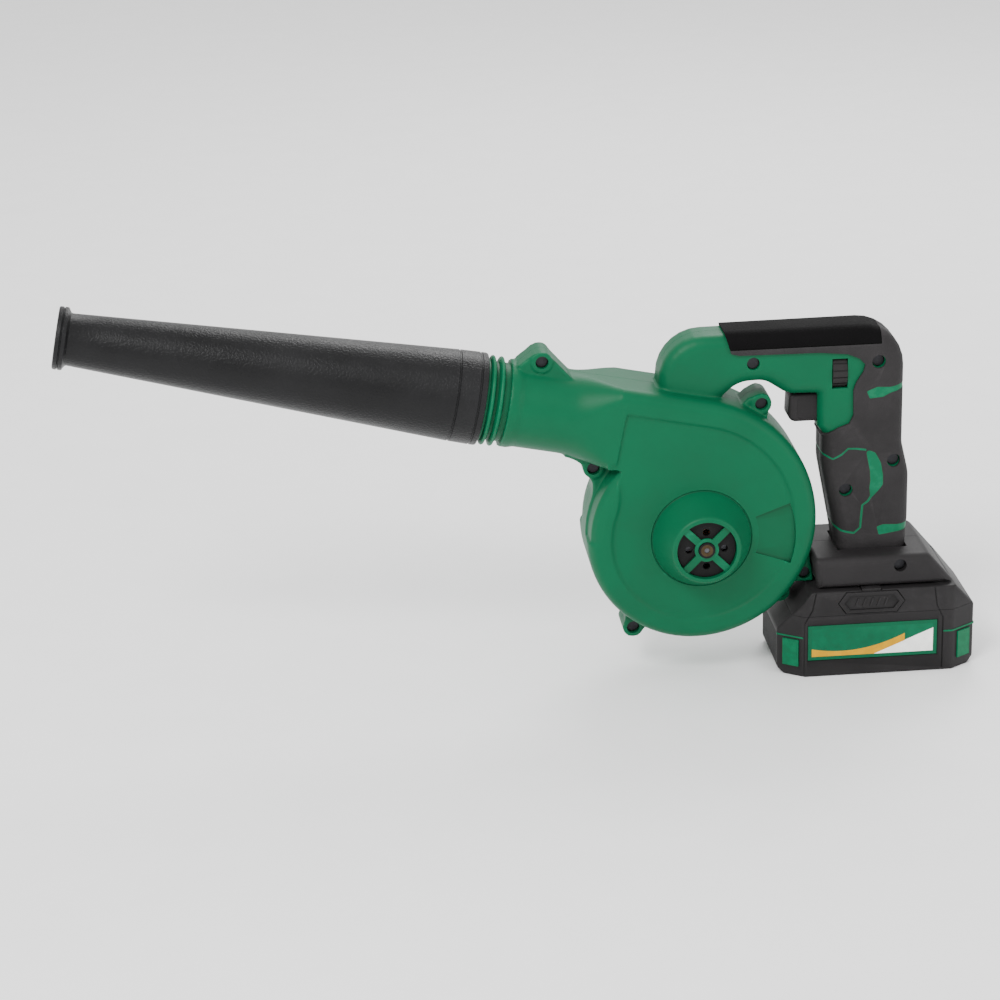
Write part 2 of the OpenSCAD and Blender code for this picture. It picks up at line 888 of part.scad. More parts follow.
module motor_end_cap() {
    color([0.9, 0.9, 0.86])
        on_fan(motor_rear)
            difference() {
                union() {
                    cylinder(r = motor_r, h = end_cap_l);
                    cylinder(r = motor_r - can_wall - 0.05, h = end_cap_l + 3);
                    translate([0, 0, -boss_l])
                        cylinder(d = boss_d, h = boss_l + 1);
                }
                translate([0, 0, 2])
                    cylinder(r = motor_r - 3.4, h = end_cap_l + 5);
                translate([0, 0, -boss_l - 1])
                    cylinder(d = boss_d - 2.4, h = 20);
                for (a = vent_angles)
                    rotate(a)
                        translate([11, 0, -1])
                            cylinder(d = 4.6, h = 10);
            }
}

commutator_r = 4.4;
commutator_y = motor_rear + 3;

module motor_brushes() {
    color([0.3, 0.25, 0.22])
        for (s = [-1, 1])
            on_fan(commutator_y + 1)
                translate([s > 0 ? commutator_r + 0.3 : -commutator_r - 8.3, -2, 0])
                    cube([8, 4, 3.6]);
}

module bearing(y, l) {
    on_fan(y)
        difference() {
            cylinder(d = boss_d - 2.4, h = l);
            translate([0, 0, -1])
                cylinder(d = shaft_d + 2 * shaft_clear, h = l + 2);
        }
}

module front_bearing() {
    color(brass)
        bearing(motor_front - can_wall, can_wall + plate_t - 0.3);
}

module rear_bearing() {
    color(brass)
        bearing(motor_rear - boss_l, boss_l + 2);
}

module motor_screws() {
    color(steel) {
        for (a = mount_angles)
            on_fan(plate_y - 8)
                rotate(a)
                    translate([mount_r, 0, 0]) {
                        cylinder(d = 2.5, h = 9 + plate_t);
                        translate([0, 0, 8 + plate_t])
                            cylinder(d = 5, h = 1.2);
                    }
        for (a = [0, 180])
            on_fan(plate_y - can_wall)
                rotate(a)
                    translate([face_screw_r, 0, 0]) {
                        cylinder(d = 2.5, h = can_wall + plate_t + 1);
                        translate([0, 0, can_wall + plate_t])
                            cylinder(d = 5, h = 1.2);
                    }
    }
}

module motor_shaft() {
    color(steel)
        on_fan(motor_rear - boss_l + 0.6)
            cylinder(d = shaft_d, h = wheel_y + 14 - motor_rear + boss_l);
}

module armature_stack() {
    color([0.45, 0.45, 0.47])
        on_fan(can_y + 8)
            difference() {
                cylinder(r = stack_r, h = can_l - 18);
                for (i = [0:4])
                    rotate(i * 72)
                        translate([stack_r, 0, -1])
                            cylinder(d = 5, h = can_l);
                translate([0, 0, -1])
                    cylinder(d = shaft_d, h = can_l);
            }
}

module armature_windings() {
    color(copper)
        for (y = [can_y + 4.5, can_y + can_l - 10])
            on_fan(y)
                difference() {
                    cylinder(r = stack_r - 2.5, h = 3.5);
                    translate([0, 0, -1])
                        cylinder(d = shaft_d, h = 6);
                }
}

module commutator() {
    color(copper)
        on_fan(commutator_y)
            difference() {
                cylinder(r = commutator_r, h = can_y + 4.5 - commutator_y);
                translate([0, 0, -1])
                    cylinder(d = shaft_d, h = 20);
                for (i = [0:4])
                    rotate(i * 72)
                        translate([0, -0.25, -1])
                            cube([8, 0.5, 7]);
            }
}

// One backward-curved blade, as an arc of a ring
module blade() {
    r = 42;
    difference() {
        intersection() {
            translate([20, r - 8])
                difference() {
                    circle(r = r);
                    circle(r = r - 1.8);
                }
            difference() {
                circle(r = wheel_r - 1);
                circle(r = inlet_r - 5);
            }
        }
        translate([-100, -9])
            square([120, 200]);
        translate([-100, 36])
            square([300, 200]);
    }
}

module fan_wheel() {
    color([0.85, 0.85, 0.82])
        on_fan(wheel_y)
            difference() {
                union() {
                    cylinder(r = wheel_r, h = disc_t);
                    cylinder(r = hub_r, h = 14);
                    linear_extrude(disc_t + blade_h)
                        for (i = [0:blades - 1])
                            rotate(i * 360 / blades)
                                blade();
                }
                translate([0, 0, -1])
                    cylinder(r = insert_r, h = 20);
            }
}

module wheel_insert() {
    color(brass)
        on_fan(wheel_y)
            difference() {
                cylinder(r = insert_r, h = 14);
                translate([0, 0, -1])
                    cylinder(d = shaft_d, h = 16);
            }
}

// ---------- Nozzle ----------

// Half section of the nozzle from its cuff to its mouth
function nozzle_profile() =
    let (c = cuff_d / 2, m = mouth_d / 2, l = nozzle_l, g = 0.5)
    [[cuff_bore_r, 0], [c - g, 0], [c, g],
     [c, 3.6], [c - g, 3.9], [c - g, 4.7], [c, 5],
     [c - 0.3, cuff_l - 2.2], [c - 0.3 - g, cuff_l - 1.9],
     [c - 0.3 - g, cuff_l - 1.1], [c - 0.4, cuff_l - 0.8],
     [m, l - mouth_ring_w - 1.5], [mouth_ring_d / 2 - 1, l - mouth_ring_w],
     [mouth_ring_d / 2, l - mouth_ring_w + 1], [mouth_ring_d / 2, l - mouth_ring_w / 2 - 0.4],
     [mouth_ring_d / 2 - g, l - mouth_ring_w / 2], [mouth_ring_d / 2, l - mouth_ring_w / 2 + 0.4],
     [mouth_ring_d / 2, l - 1], [mouth_ring_d / 2 - 1, l],
     [mouth_bore_r, l], [mouth_bore_r, l - 12],
     [cuff_bore_r - 1.5, spigot_l + 6], [cuff_bore_r, spigot_l + 1]];

module nozzle() {
    color(soft_black)
        on_duct(cuff_s + 0.3)
            rotate_extrude()
                polygon(nozzle_profile());
}

module neck_seal() {
    color([0.08, 0.08, 0.08])
        on_duct(seal_s)
            rotate_extrude()
                translate([spigot_d / 2 - seal_d / 2 + 0.15, 0])
                    circle(d = seal_d - 0.2);
}

// ---------- Trigger and speed control ----------

module trigger() {
    x0 = trigger_face - trigger_out;
    x1 = grip_front + 1;
    mid = (trigger_z + trigger_top) / 2;
    corners = [[x0, trigger_z, 5], [x1, trigger_z, 0], [x1, trigger_top, 0], [x0 + 1, trigger_top, 3]];
    color(hard_black) {
        soft_slab(corners, trigger_w / 2, 1.2);
        bar_x(x1 - tiny, switch_x + 2, 0, mid, stem_d);
    }
}

module trigger_spring() {
    x0 = grip_front + 1.2;
    color(steel)
        translate([x0, 0, (trigger_z + trigger_top) / 2])
            rotate([0, 90, 0])
                coil(7, 0.8, switch_x - x0 - 0.2, 4);
}

module trigger_switch() {
    mid = (trigger_z + trigger_top) / 2;
    color([0.15, 0.15, 0.16])
        difference() {
            block([switch_x, -switch_half, trigger_z - 1], [switch_x + switch_l, switch_half, switch_top]);
            bar_x(switch_x - 1, switch_x + trigger_travel + 4, 0, mid, stem_d + 2 * fit_gap);
        }
}

module speed_dial() {
    color(hard_black) {
        difference() {
            bar_x(dial_x - dial_w / 2, dial_x + dial_w / 2, dial_y, dial_z, dial_d);
            for (i = [0:17])
                translate([dial_x, dial_y, dial_z])
                    rotate([i * 20, 0, 0])
                        translate([0, 0, dial_d / 2])
                            cube([dial_w + 2, 0.9, 1.2], center = true);
        }
        bar_x(dial_x + dial_w / 2 - tiny, dial_x + dial_w / 2 + 4, dial_y, dial_z, 3);
    }
}

module speed_pot() {
    x0 = dial_x + dial_w / 2 + 1;
    color([0.1, 0.25, 0.5])
        difference() {
            block([x0, dial_y - 5, dial_z - 6], [x0 + 6, dial_y + 5, dial_z + 6]);
            bar_x(x0 - 1, x0 + 4, dial_y, dial_z, 3 + 2 * fit_gap);
        }
}

module control_board() {
    x0 = dial_x + dial_w / 2 + 7;
    color([0.05, 0.3, 0.15]) {
        block([x0, -9, dial_z - 8], [x0 + 1.6, 9, dial_z + 8]);
        block([x0 + 1.55, -5, dial_z - 4], [x0 + 4, 5, dial_z + 5]);
    }
}

// ---------- Wiring in the housing ----------

block_back = grip_back - 6;

module terminal_block() {
    low = battery_h + slide_gap + rail_h + 0.6;
    color([0.15, 0.15, 0.16])
        difference() {
            block([plug_x - 12, -10.8, low], [block_back, 10.8, battery_h + 15.5]);
            for (y = [-8, 8])
                block([plug_x - 20, y - 0.5, low - 1], [block_back - 3, y + 0.5, low + 4.5]);
            block([plug_x - 2, -3, low + 4], [plug_x + 6, 3, low + 20]);
        }
}

module terminal_blades() {
    low = battery_h + slide_gap + rail_h + 0.6;
    color(brass)
        for (y = [-8, 8])
            block([plug_x - 8, y - 0.5, low - 2.6], [block_back - 3.05, y + 0.5, low + 4.5]);
}

wire_d = 2;
wire_z = battery_h + 12.5;

wire_level = [0.1, 1, 0.1];
tag_x = fan_x + motor_r;

module motor_wires() {
    color([0.6, 0.1, 0.1])
        for (s = [-1, 1])
            tube_along(eased([
                [switch_x + 10, 2 * s - 6, trigger_z - 1],
                [switch_x + 10, 2 * s - 6, trigger_z - 20],
                [grip_front + 24, 2 * s - 6, battery_h + 60],
                [grip_front + 22, 2 * s - 6, wire_z + 16],
                [grip_front + 17, 2 * s - 6, wire_z + 3],
                [grip_low_front - 3, 2 * s - 6, wire_z + 0.5],
                [foot_front - 16, 2 * s - 6, wire_z + 0.7],
                [low_c.x + 52, 2 * s - 14, wire_z + 2],
                [fan_x + 35 + s, s - 20, fan_z - 14 + s],
                [tag_x + 4.5, -21, fan_z - 4 + 2 * s],
                [tag_x + 2.2, -28, fan_z + 2 * s],
                [tag_x + 1.8, motor_rear + 3, fan_z + 2 * s]]), wire_d, wire_level);
}

module battery_wires() {
    color([0.1, 0.1, 0.1])
        for (s = [-1, 1])
            tube_along(eased([
                [plug_x + 2, 2 * s, battery_h + 15.5],
                [plug_x + 2, 2 * s + 2, battery_h + 30],
                [grip_front + 23, 2 * s + 5, battery_h + 56],
                [switch_x + 14, 2 * s + 5, trigger_z - 22],
                [switch_x + 15, 2 * s + 5, trigger_z - 1 - wire_d / 4]]), wire_d, wire_level);
}

// Slot beside the motor for its two wires
module wire_slot() {
    block([fan_x + motor_r - 4, motor_rear + 0.5, fan_z - 5],
        [tag_x + 4.2, 16 - case_half, fan_z + 3.6]);
}

// ---------- Battery ----------

// The battery seen from above, moved inwards by d
function battery_plan(d) = shrink([
    [-battery_l / 2, -corner_y], [-corner_x, -battery_w / 2],
    [corner_x, -battery_w / 2], [battery_l / 2, -corner_y],
    [battery_l / 2, corner_y], [corner_x, battery_w / 2],
    [-corner_x, battery_w / 2], [-battery_l / 2, corner_y]], d);

// The battery seen from the side, moved inwards by d
function battery_side(d) = shrink([
    [-battery_l / 2 + 4, 0], [battery_l / 2 - 4, 0], [battery_l / 2, 4],
    [battery_l / 2, battery_h - 17], [battery_l / 2 - 17 / slope, battery_h],
    [front_slope_l - battery_l / 2, battery_h], [-battery_l / 2, battery_h - front_slope_h],
    [-battery_l / 2, 4]], d);

module battery_shape(d) {
    intersection() {
        linear_extrude(battery_h)
            polygon(battery_plan(d));
        slab(-battery_w, battery_w)
            polygon(battery_side(d));
    }
}

module battery_shell() {
    difference() {
        battery_shape(0);
        battery_shape(battery_wall);
    }
}

module button_room(side, gap) {
    y0 = battery_w / 2 - button_depth - button_travel - gap;
    mid = side * (y0 + 20);
    translate([button_x, mid, button_z])
        rotate([90, 0, 0])
            translate([0, 0, -20])
                linear_extrude(40)
                    polygon(hexagon(gap));
}

function hexagon(gap) =
    let (w = button_w / 2 + gap, h = button_h / 2 + gap, c = 5)
    [[-w + c, -h], [w - c, -h], [w, 0], [w - c, h], [c - w, h], [-w, 0]];

module label_room(side, depth) {
    x0 = corner_x - 1.5;
    y0 = battery_w / 2 - depth;
    block([-x0, side > 0 ? y0 : -y0 - 5, 11], [x0 - 8, side > 0 ? y0 + 5 : -y0, 35]);
}

// The four screws that close the battery, from below, with d and h for the piece made there
module battery_screw_bars(d, z0, z1) {
    for (sx = [-1, 1], sy = [-1, 1])
        translate([sx * (cell_rows * cell_pitch / 2 + 3.6), sy * (corner_y - 3), z0])
            cylinder(d = d, h = z1 - z0);
}

module battery_lower_case() {
    color(hard_black)
        difference() {
            union() {
                intersection() {
                    battery_shell();
                    block([-200, -100, -1], [200, 100, battery_seam - 0.1]);
                }
                battery_screw_bars(7, 1, battery_seam - 4);
            }
            battery_screw_bars(5, -1, 3);
            battery_screw_bars(2.6, 0, battery_seam);
            for (s = [-1, 1])
                label_room(s, 1);
            for (s = [-1, 1])
                button_room(s, button_clear);
            inlay_rooms(0);
        }
}

module battery_upper_case() {
    top = battery_h + slide_gap;
    color(hard_black) {
        difference() {
            intersection() {
                battery_shell();
                block([-200, -100, battery_seam], [200, 100, battery_h + 1]);
            }
            for (s = [-1, 1])
                button_room(s, button_clear);
            for (s = [-1, 1])
                block([button_x - tooth_w / 2 - 0.5, s > 0 ? battery_w / 2 - 9 : -60, battery_h - 5],
                    [button_x + tooth_w / 2 + 0.5, s > 0 ? 60 : 9 - battery_w / 2, battery_h + 2]);
            block([plug_x - 10, -10, battery_h - 10], [plug_x + 20, 10, battery_h + 1]);
        }
        // Rails that hang in the foot, and seats for the springs of the release buttons
        union() {
            for (s = [-1, 1]) {
                block([button_x - 8, s > 0 ? spring_y - 8 : 6 - spring_y, battery_seam + 3.5],
                    [button_x + 8, s > 0 ? spring_y - 6 : 8 - spring_y, battery_h - 1]);
                block([rail_front, s > 0 ? rail_w / 2 - 9 : -rail_w / 2 + 5, battery_h - 1],
                    [rail_back, s > 0 ? rail_w / 2 - 5 : 9 - rail_w / 2, top + rail_h - 0.6]);
                block([rail_front, s > 0 ? rail_w / 2 - 9 : -rail_w / 2, top + 1.4 + slide_gap],
                    [rail_back, s > 0 ? rail_w / 2 : 9 - rail_w / 2, top + rail_h - 0.6]);
            }
        }
    }
}

module battery_cells() {
    color([0.2, 0.45, 0.7])
        for (i = [0:cell_rows - 1], k = [0, 1])
            let (
                x = (i - (cell_rows - 1) / 2) * cell_pitch,
                z = battery_wall + 0.6 + cell_d / 2 + k * (cell_d + 0.4))
                bar_y([x, z], -cell_l / 2, cell_l / 2, cell_d);
}

module cell_straps() {
    reach = (cell_rows - 1) / 2 * cell_pitch + 5;
    z = battery_wall + 0.6 + cell_d + 0.2;
    color(steel)
        for (s = [-1, 1])
            for (i = [0:4])
                let (x = (i - 2) * cell_pitch, y = s > 0 ? cell_l / 2 : -cell_l / 2 - 0.3)
                    block([max(x - 4, -reach), y, z - 13], [min(x + 4, reach), y + 0.3, z + 13]);
}

module battery_board() {
    color([0.05, 0.3, 0.15])
        block([plug_x - 38, -22, battery_seam + 1.2], [plug_x + 38, 22, battery_seam + 2.8]);
}

module battery_contacts() {
    z = battery_seam + 2.8;
    color(brass)
        for (y = [-8, 8])
            for (s = [-1, 1])
                block([plug_x - 4, y + (s > 0 ? 1 : -1.5), z],
                    [plug_x + 16, y + (s > 0 ? 1.5 : -1), battery_h + rail_h - 0.4]);
}

module battery_labels() {
    x0 = corner_x - 1.9;
    color([0.85, 0.85, 0.8])
        for (s = [-1, 1])
            block([-x0, s > 0 ? battery_w / 2 - 1 : -battery_w / 2 + 0.2, 11.4],
                [x0 - 8, s > 0 ? battery_w / 2 - 0.2 : -battery_w / 2 + 1, 34.6]);
}

// Green inlays on the slanted corners
module inlay_rooms(gap) {
    for (sx = [-1, 1], sy = [-1, 1])
        mirror([sx < 0 ? 1 : 0, 0, 0])
            mirror([0, sy < 0 ? 1 : 0, 0])
                translate([(battery_l / 2 + corner_x) / 2, (battery_w / 2 + corner_y) / 2, 16])
                    rotate([0, 0, atan2(corner_w, -corner_l) - 180])
                        cube([11 - 2 * gap, 2 - gap, 18 - 2 * gap], center = true);
}

module battery_inlays() {
    color(case_green)
        inlay_rooms(0.1);
}

module battery_screws() {
    color(steel)
        difference() {
            union() {
                battery_screw_bars(4.7, 1, 3);
                battery_screw_bars(2.6, 1.5, battery_seam - 4.5);
            }
            battery_screw_bars(2.2, 0, 2);
        }
}

module release_button(side) {
    y = battery_w / 2;
    foot_y = y - 9 + button_clear;
    color(hard_black)
        mirror([0, side < 0 ? 1 : 0, 0]) {
            translate([button_x, y + 0.6, button_z])
                rotate([90, 0, 0])
                    linear_extrude(button_depth - 0.4)
                        polygon(hexagon(0));
            block([button_x - tooth_w / 2, foot_y + 2.6, button_z + button_h / 2 - 3],
                [button_x + tooth_w / 2, y - 1, battery_h + slide_gap + 0.2]);
        }
}

module left_button() {
    release_button(-1);
}

module right_button() {
    release_button(1);
}

module button_spring(side) {
    color(steel)
        mirror([0, side < 0 ? 1 : 0, 0])
            translate([button_x, spring_y, button_z - 2])
                rotate([90, 0, 0])
                    coil(6, 0.7, 6, 3);
}

module left_button_spring() {
    button_spring(-1);
}

module right_button_spring() {
    button_spring(1);
}

left_housing();
right_housing();
left_grip_skin();
right_grip_skin();
top_pad();
left_foot();
right_foot();
housing_screws();
inlet_guard();
motor_mount();
motor_can();
motor_magnets();
motor_end_cap();
motor_brushes();
front_bearing();
rear_bearing();
motor_screws();
motor_shaft();
armature_stack();
armature_windings();
commutator();
fan_wheel();
wheel_insert();
nozzle();
neck_seal();
trigger();
trigger_spring();
trigger_switch();
speed_dial();
speed_pot();
control_board();
terminal_block();
terminal_blades();
motor_wires();
battery_wires();
battery_lower_case();
battery_upper_case();
battery_cells();
cell_straps();
battery_board();
battery_contacts();
battery_labels();
battery_inlays();
battery_screws();
left_button();
right_button();
left_button_spring();
right_button_spring();
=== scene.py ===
# %% [markdown]
# # A cordless leaf blower
# The blower is a moulded green fan case with a round motor collar on its side, a long black nozzle,
# a looped handle with a soft black skin, and a battery that it stands on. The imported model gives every
# body its place and its joints. This file gives each piece its rounded moulded shape and its finish.

# %% Load the frame
import bpy
import bmesh
import json
import math
from mathutils import Matrix, Vector


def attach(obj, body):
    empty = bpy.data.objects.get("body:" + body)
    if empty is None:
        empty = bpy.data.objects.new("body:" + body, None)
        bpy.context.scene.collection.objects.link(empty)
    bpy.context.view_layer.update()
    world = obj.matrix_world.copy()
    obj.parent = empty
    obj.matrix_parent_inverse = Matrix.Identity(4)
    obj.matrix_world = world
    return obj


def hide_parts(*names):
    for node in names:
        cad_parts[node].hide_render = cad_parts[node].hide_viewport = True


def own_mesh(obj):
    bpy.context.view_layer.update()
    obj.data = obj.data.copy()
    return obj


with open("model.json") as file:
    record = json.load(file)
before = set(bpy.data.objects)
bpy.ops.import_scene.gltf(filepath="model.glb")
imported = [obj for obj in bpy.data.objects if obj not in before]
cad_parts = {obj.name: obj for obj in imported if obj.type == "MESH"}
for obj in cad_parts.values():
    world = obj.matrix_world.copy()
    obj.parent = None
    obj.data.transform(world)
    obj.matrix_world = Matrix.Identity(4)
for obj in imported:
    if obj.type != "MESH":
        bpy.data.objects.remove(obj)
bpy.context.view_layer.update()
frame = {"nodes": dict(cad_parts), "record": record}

# %% [markdown]
# ## The camera
# A camera could be aimed with three angles, but a matrix built from the directions right, up and back is
# easier to follow. A long lens from a little above and to the left keeps the case nearly square on, and
# still shows the top of the battery. The camera is rolled slightly, as a hand holds it.

# %% Camera
look_at = Vector((-0.234, 0.0, 0.1164))
azimuth, elevation, roll = math.radians(4.5), math.radians(20), math.radians(1.5)
distance, focal_length, sensor = 1.8125, 104.4, 36
level = math.cos(elevation)
ahead = Vector((math.sin(azimuth) * level, math.cos(azimuth) * level, -math.sin(elevation)))
across = Vector((math.cos(azimuth), -math.sin(azimuth), 0))
above = across.cross(ahead)
right = across * math.cos(roll) - above * math.sin(roll)
up = above * math.cos(roll) + across * math.sin(roll)
lens = bpy.data.cameras.new("camera")
lens.lens, lens.sensor_width = focal_length, sensor
camera = bpy.data.objects.new("camera", lens)
camera.matrix_world = Matrix((right, up, -ahead)).transposed().to_4x4()
camera.location = look_at - ahead * distance
bpy.context.scene.collection.objects.link(camera)
bpy.context.scene.camera = camera
print("camera at", [round(v, 3) for v in camera.location])

# %% [markdown]
# ## Sizes
# All lengths are in millimetres, as on a drawing, and a mesh is scaled to metres when it is made. The
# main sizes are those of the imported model. X runs towards the battery's rear, Y to the far side, and Z
# up. The scroll is made of three arcs of growing radius, so that its wall moves away from the fan on the
# way to the outlet. The duct leaves it at a small tilt.

# %% Main sizes
MM = 0.001
FAN_X, FAN_Z = -111.0, 94.0
CASE_HALF = 29.0
SCROLL_R, LOW_R, HIGH_R, TONGUE_R = 68.0, 76.0, 81.0, 22.0
DUCT_R, BORE_R = 26.5, 22.4
LUG_R, LUG_HALF = 6.5, 12.0
COLLAR_Y = -50.0
HANDLE_HALF, HANDLE_TOP = 15.5, 221.0
SKIN = 1.8
FOOT_HALF = 34.0
BATTERY_L, BATTERY_W, BATTERY_H = 126.0, 75.0, 57.0
SEAM = 0.12
REACH = 60.0
print("the case is", 2 * CASE_HALF, "wide and the battery", BATTERY_L, "long")

# %% Scroll, duct and tongue
TILT = math.radians(11.6)
DUCT_DIR = Vector((-math.cos(TILT), math.sin(TILT)))
DUCT_UP = Vector((math.sin(TILT), math.cos(TILT)))
DUCT_AXIS = Vector((DUCT_DIR.x, 0, DUCT_DIR.y))
duct_l, neck_l, spigot_l = 134.0, 14.0, 34.0
cuff_s = duct_l + neck_l
fan_c = Vector((FAN_X, FAN_Z))
scroll_c = Vector((FAN_X - 3, FAN_Z))
low_c = scroll_c + Vector((0, 8))
high_c = low_c + Vector((-5, 0))
duct_foot = fan_c + DUCT_UP * ((high_c - fan_c).dot(DUCT_UP) + HIGH_R - DUCT_R)
duct_drop = (duct_foot - scroll_c).dot(DUCT_UP)
tongue_s = (scroll_c - duct_foot).dot(DUCT_DIR) + math.sqrt(
    (SCROLL_R + TONGUE_R) ** 2 - (duct_drop - DUCT_R - TONGUE_R) ** 2)
tongue_c = duct_foot + DUCT_DIR * tongue_s - DUCT_UP * (DUCT_R + TONGUE_R)
print("duct foot", [round(v, 1) for v in duct_foot], "tongue at", round(tongue_s, 1))


# %% Places along the duct
def on_duct(s, u=0.0):
    """The point s along the duct's axis and u above it."""
    p = duct_foot + DUCT_DIR * s + DUCT_UP * u
    return Vector((p.x, 0, p.y))


print("the cuff of the nozzle starts at", [round(v, 1) for v in on_duct(cuff_s)])

# %% Places of the screws
case_screws = [
    duct_foot + DUCT_DIR * 117 + DUCT_UP * 32,
    scroll_c + Vector((-0.82, 0.58)) * (SCROLL_R + 8),
    scroll_c + Vector((-0.52, -0.86)) * (SCROLL_R + 6),
    low_c + Vector((0.715, -0.685)) * (LOW_R + 1.5),
    high_c + Vector((0.55, 0.835)) * (HIGH_R + 6)]
handle_screws = [Vector(p) for p in [(-77, 202), (1, 200), (-18.5, 117), (11.5, 135)]]
arm_screw = Vector((-44.5, 63.5))
foot_screw = Vector((13.5, 71))
print(len(case_screws + handle_screws) + 2, "screws")

# %% [markdown]
# ## Outlines
# Moulded plastic has no sharp corners, so every outline here is a list of corners that each carry a
# radius. Curves in Blender could round them too, but a list can also be moved inwards, which tightens
# outer corners and widens hollow ones. A plate with a true rounded edge is lofted through such copies.

# %% Arcs and circles
def turns(n):
    """The angles of n equal steps round a circle, in radians."""
    return [2 * math.pi * i / n for i in range(n)]


def arc(centre, radius, start, end, steps=28):
    """Points on an arc, with its angles in degrees."""
    points = []
    for i in range(steps + 1):
        a = math.radians(start + (end - start) * i / steps)
        points.append(centre + Vector((math.cos(a), math.sin(a))) * radius)
    return points


def turns_left(points):
    return sum(a.x * b.y - a.y * b.x for a, b in zip(points, points[1:] + points[:1])) > 0


print("a quarter of the scroll has", len(arc(low_c, LOW_R, 270, 360)), "points")


# %% Rounded outlines
def moved_corners(corners, inset):
    """The corners and their radii after each edge has moved inwards. A fourth number on a corner says
    how much faster than the others the edge after it moves."""
    pts = [Vector(c[:2]) for c in corners]
    pull = [c[3] if len(c) > 3 else 1.0 for c in corners]
    side = 1 if turns_left(pts) else -1
    moved, radii = [], []
    for i, corner in enumerate(corners):
        e = (pts[i] - pts[i - 1]).normalized()
        f = (pts[(i + 1) % len(pts)] - pts[i]).normalized()
        a, b = Vector((-e.y, e.x)) * side, Vector((-f.y, f.x)) * side
        da, db = inset * pull[i - 1], inset * pull[i]
        turn = e.x * f.y - e.y * f.x
        nearly_straight = abs(turn) < 0.05
        if nearly_straight:
            moved.append(pts[i] + (a + b) * (da + db) / 4)
        else:
            moved.append(pts[i] + (e * (db - da * a.dot(b)) / b.dot(e) + a * da))
        r = corner[2]
        radii.append(0 if r == 0 else max(r - side * math.copysign(1, turn) * inset, 0.2))
    return moved, radii


def rounded(corners, inset=0.0, steps=7):
    """A closed outline through (x, z, radius) corners, moved inwards by inset."""
    moved, radii = moved_corners(corners, inset)
    out = []
    for i, b in enumerate(moved):
        a, c, r = moved[i - 1], moved[(i + 1) % len(moved)], radii[i]
        u, v = (a - b).normalized(), (c - b).normalized()
        half = math.acos(max(-1, min(1, u.dot(v)))) / 2
        nearly_straight = half > 1.565
        if r == 0 or nearly_straight:
            out += [b.copy() for _ in range(steps + 1)] if r else [b]
            continue
        r = min(r, 0.49 * min((a - b).length, (c - b).length) * math.tan(half))
        mid = b + (u + v).normalized() * r / math.sin(half)
        first = b + u * r / math.tan(half) - mid
        start = math.degrees(math.atan2(first.y, first.x))
        sweep = (180 - 2 * math.degrees(half)) * (1 if (b - a).cross(c - b) > 0 else -1)
        out += arc(mid, r, start, start + sweep, steps)
    return out


print("a rounded square has", len(rounded([(0, 0, 1), (9, 0, 1), (9, 9, 1), (0, 9, 1)])), "points")


# %% The scroll's outline, and lines of a given width
def scroll_outline(inset=0.0):
    to_tongue = tongue_c - scroll_c
    tongue_a = math.degrees(math.atan2(to_tongue.y, to_tongue.x))
    up_a = 90 - math.degrees(TILT)
    end = duct_foot + DUCT_DIR * tongue_s
    return (arc(scroll_c, SCROLL_R - inset, tongue_a, 270, 30) + arc(low_c, LOW_R - inset, 270, 360)[1:]
            + arc(high_c, HIGH_R - inset, 0, up_a)[1:] + [end + DUCT_UP * (DUCT_R - inset)]
            + arc(tongue_c, TONGUE_R + inset, up_a, tongue_a - 180, 20)[:-1])


def band(points, width):
    """The outline of a line of the given width through points."""
    pts = [Vector(p) for p in points]
    left, other = [], []
    for i, p in enumerate(pts):
        along = (pts[min(i + 1, len(pts) - 1)] - pts[max(i - 1, 0)]).normalized()
        aside = Vector((-along.y, along.x)) * width / 2
        left.append(p + aside)
        other.append(p - aside)
    return left + other[::-1]


print("scroll outline has", len(scroll_outline()), "points")

# %% [markdown]
# ## Solids
# A few makers are enough for the whole blower: a loft through rings, a plate with rounded edges, a
# block, a round bar and a turned piece. Each gives a closed mesh, because only closed solids can be
# added to and cut from one another later.

# %% Meshes and lofts
def make(name, verts, faces):
    mesh = bpy.data.meshes.new(name)
    mesh.from_pydata([Vector(v) * MM for v in verts], [], faces)
    piece = bpy.data.objects.new(name, mesh)
    bpy.context.scene.collection.objects.link(piece)
    bm = bmesh.new()
    bm.from_mesh(mesh)
    bmesh.ops.remove_doubles(bm, verts=bm.verts, dist=1e-7)
    bmesh.ops.recalc_face_normals(bm, faces=bm.faces)
    bm.to_mesh(mesh)
    bm.free()
    return piece


def loft(name, rings):
    """A closed solid through rings of equal length, each a list of 3-D points."""
    n = len(rings[0])
    verts = [p for ring in rings for p in ring]
    faces = [(r * n + k, r * n + (k + 1) % n, (r + 1) * n + (k + 1) % n, (r + 1) * n + k)
             for r in range(len(rings) - 1) for k in range(n)]
    faces.append(tuple(range(n))[::-1])
    faces.append(tuple(range((len(rings) - 1) * n, len(rings) * n)))
    return make(name, verts, faces)


def tell(what, *pieces):
    print(what + ":", *(len(p.data.polygons) for p in pieces), "faces")


def at_y(points, y):
    return [(p[0], y, p[1]) for p in points]


def at_z(points, z):
    return [(p[0], p[1], z) for p in points]


print("lofts ready")


# %% Plates, prisms, bars and blocks
def mirrored_loft(name, outline_at, side):
    """A loft that is the same on both sides of the middle. side holds (inset, y) from the middle out."""
    near = [at_y(outline_at(inset), -y) for inset, y in side[::-1]]
    far = [at_y(outline_at(inset), y) for inset, y in side if y > 0]
    return loft(name, near + far)


def soft_plate(name, corners, half, edge, steps=6, grow=0.0):
    """A plate between y = -half and half whose edges are quarter rounds of radius edge."""
    side = []
    for i in range(steps + 1):
        a = math.pi / 2 * i / steps
        side.append((grow + edge * (1 - math.cos(a)), half - edge + edge * math.sin(a)))
    return mirrored_loft(name, lambda inset: rounded(corners, inset), side)


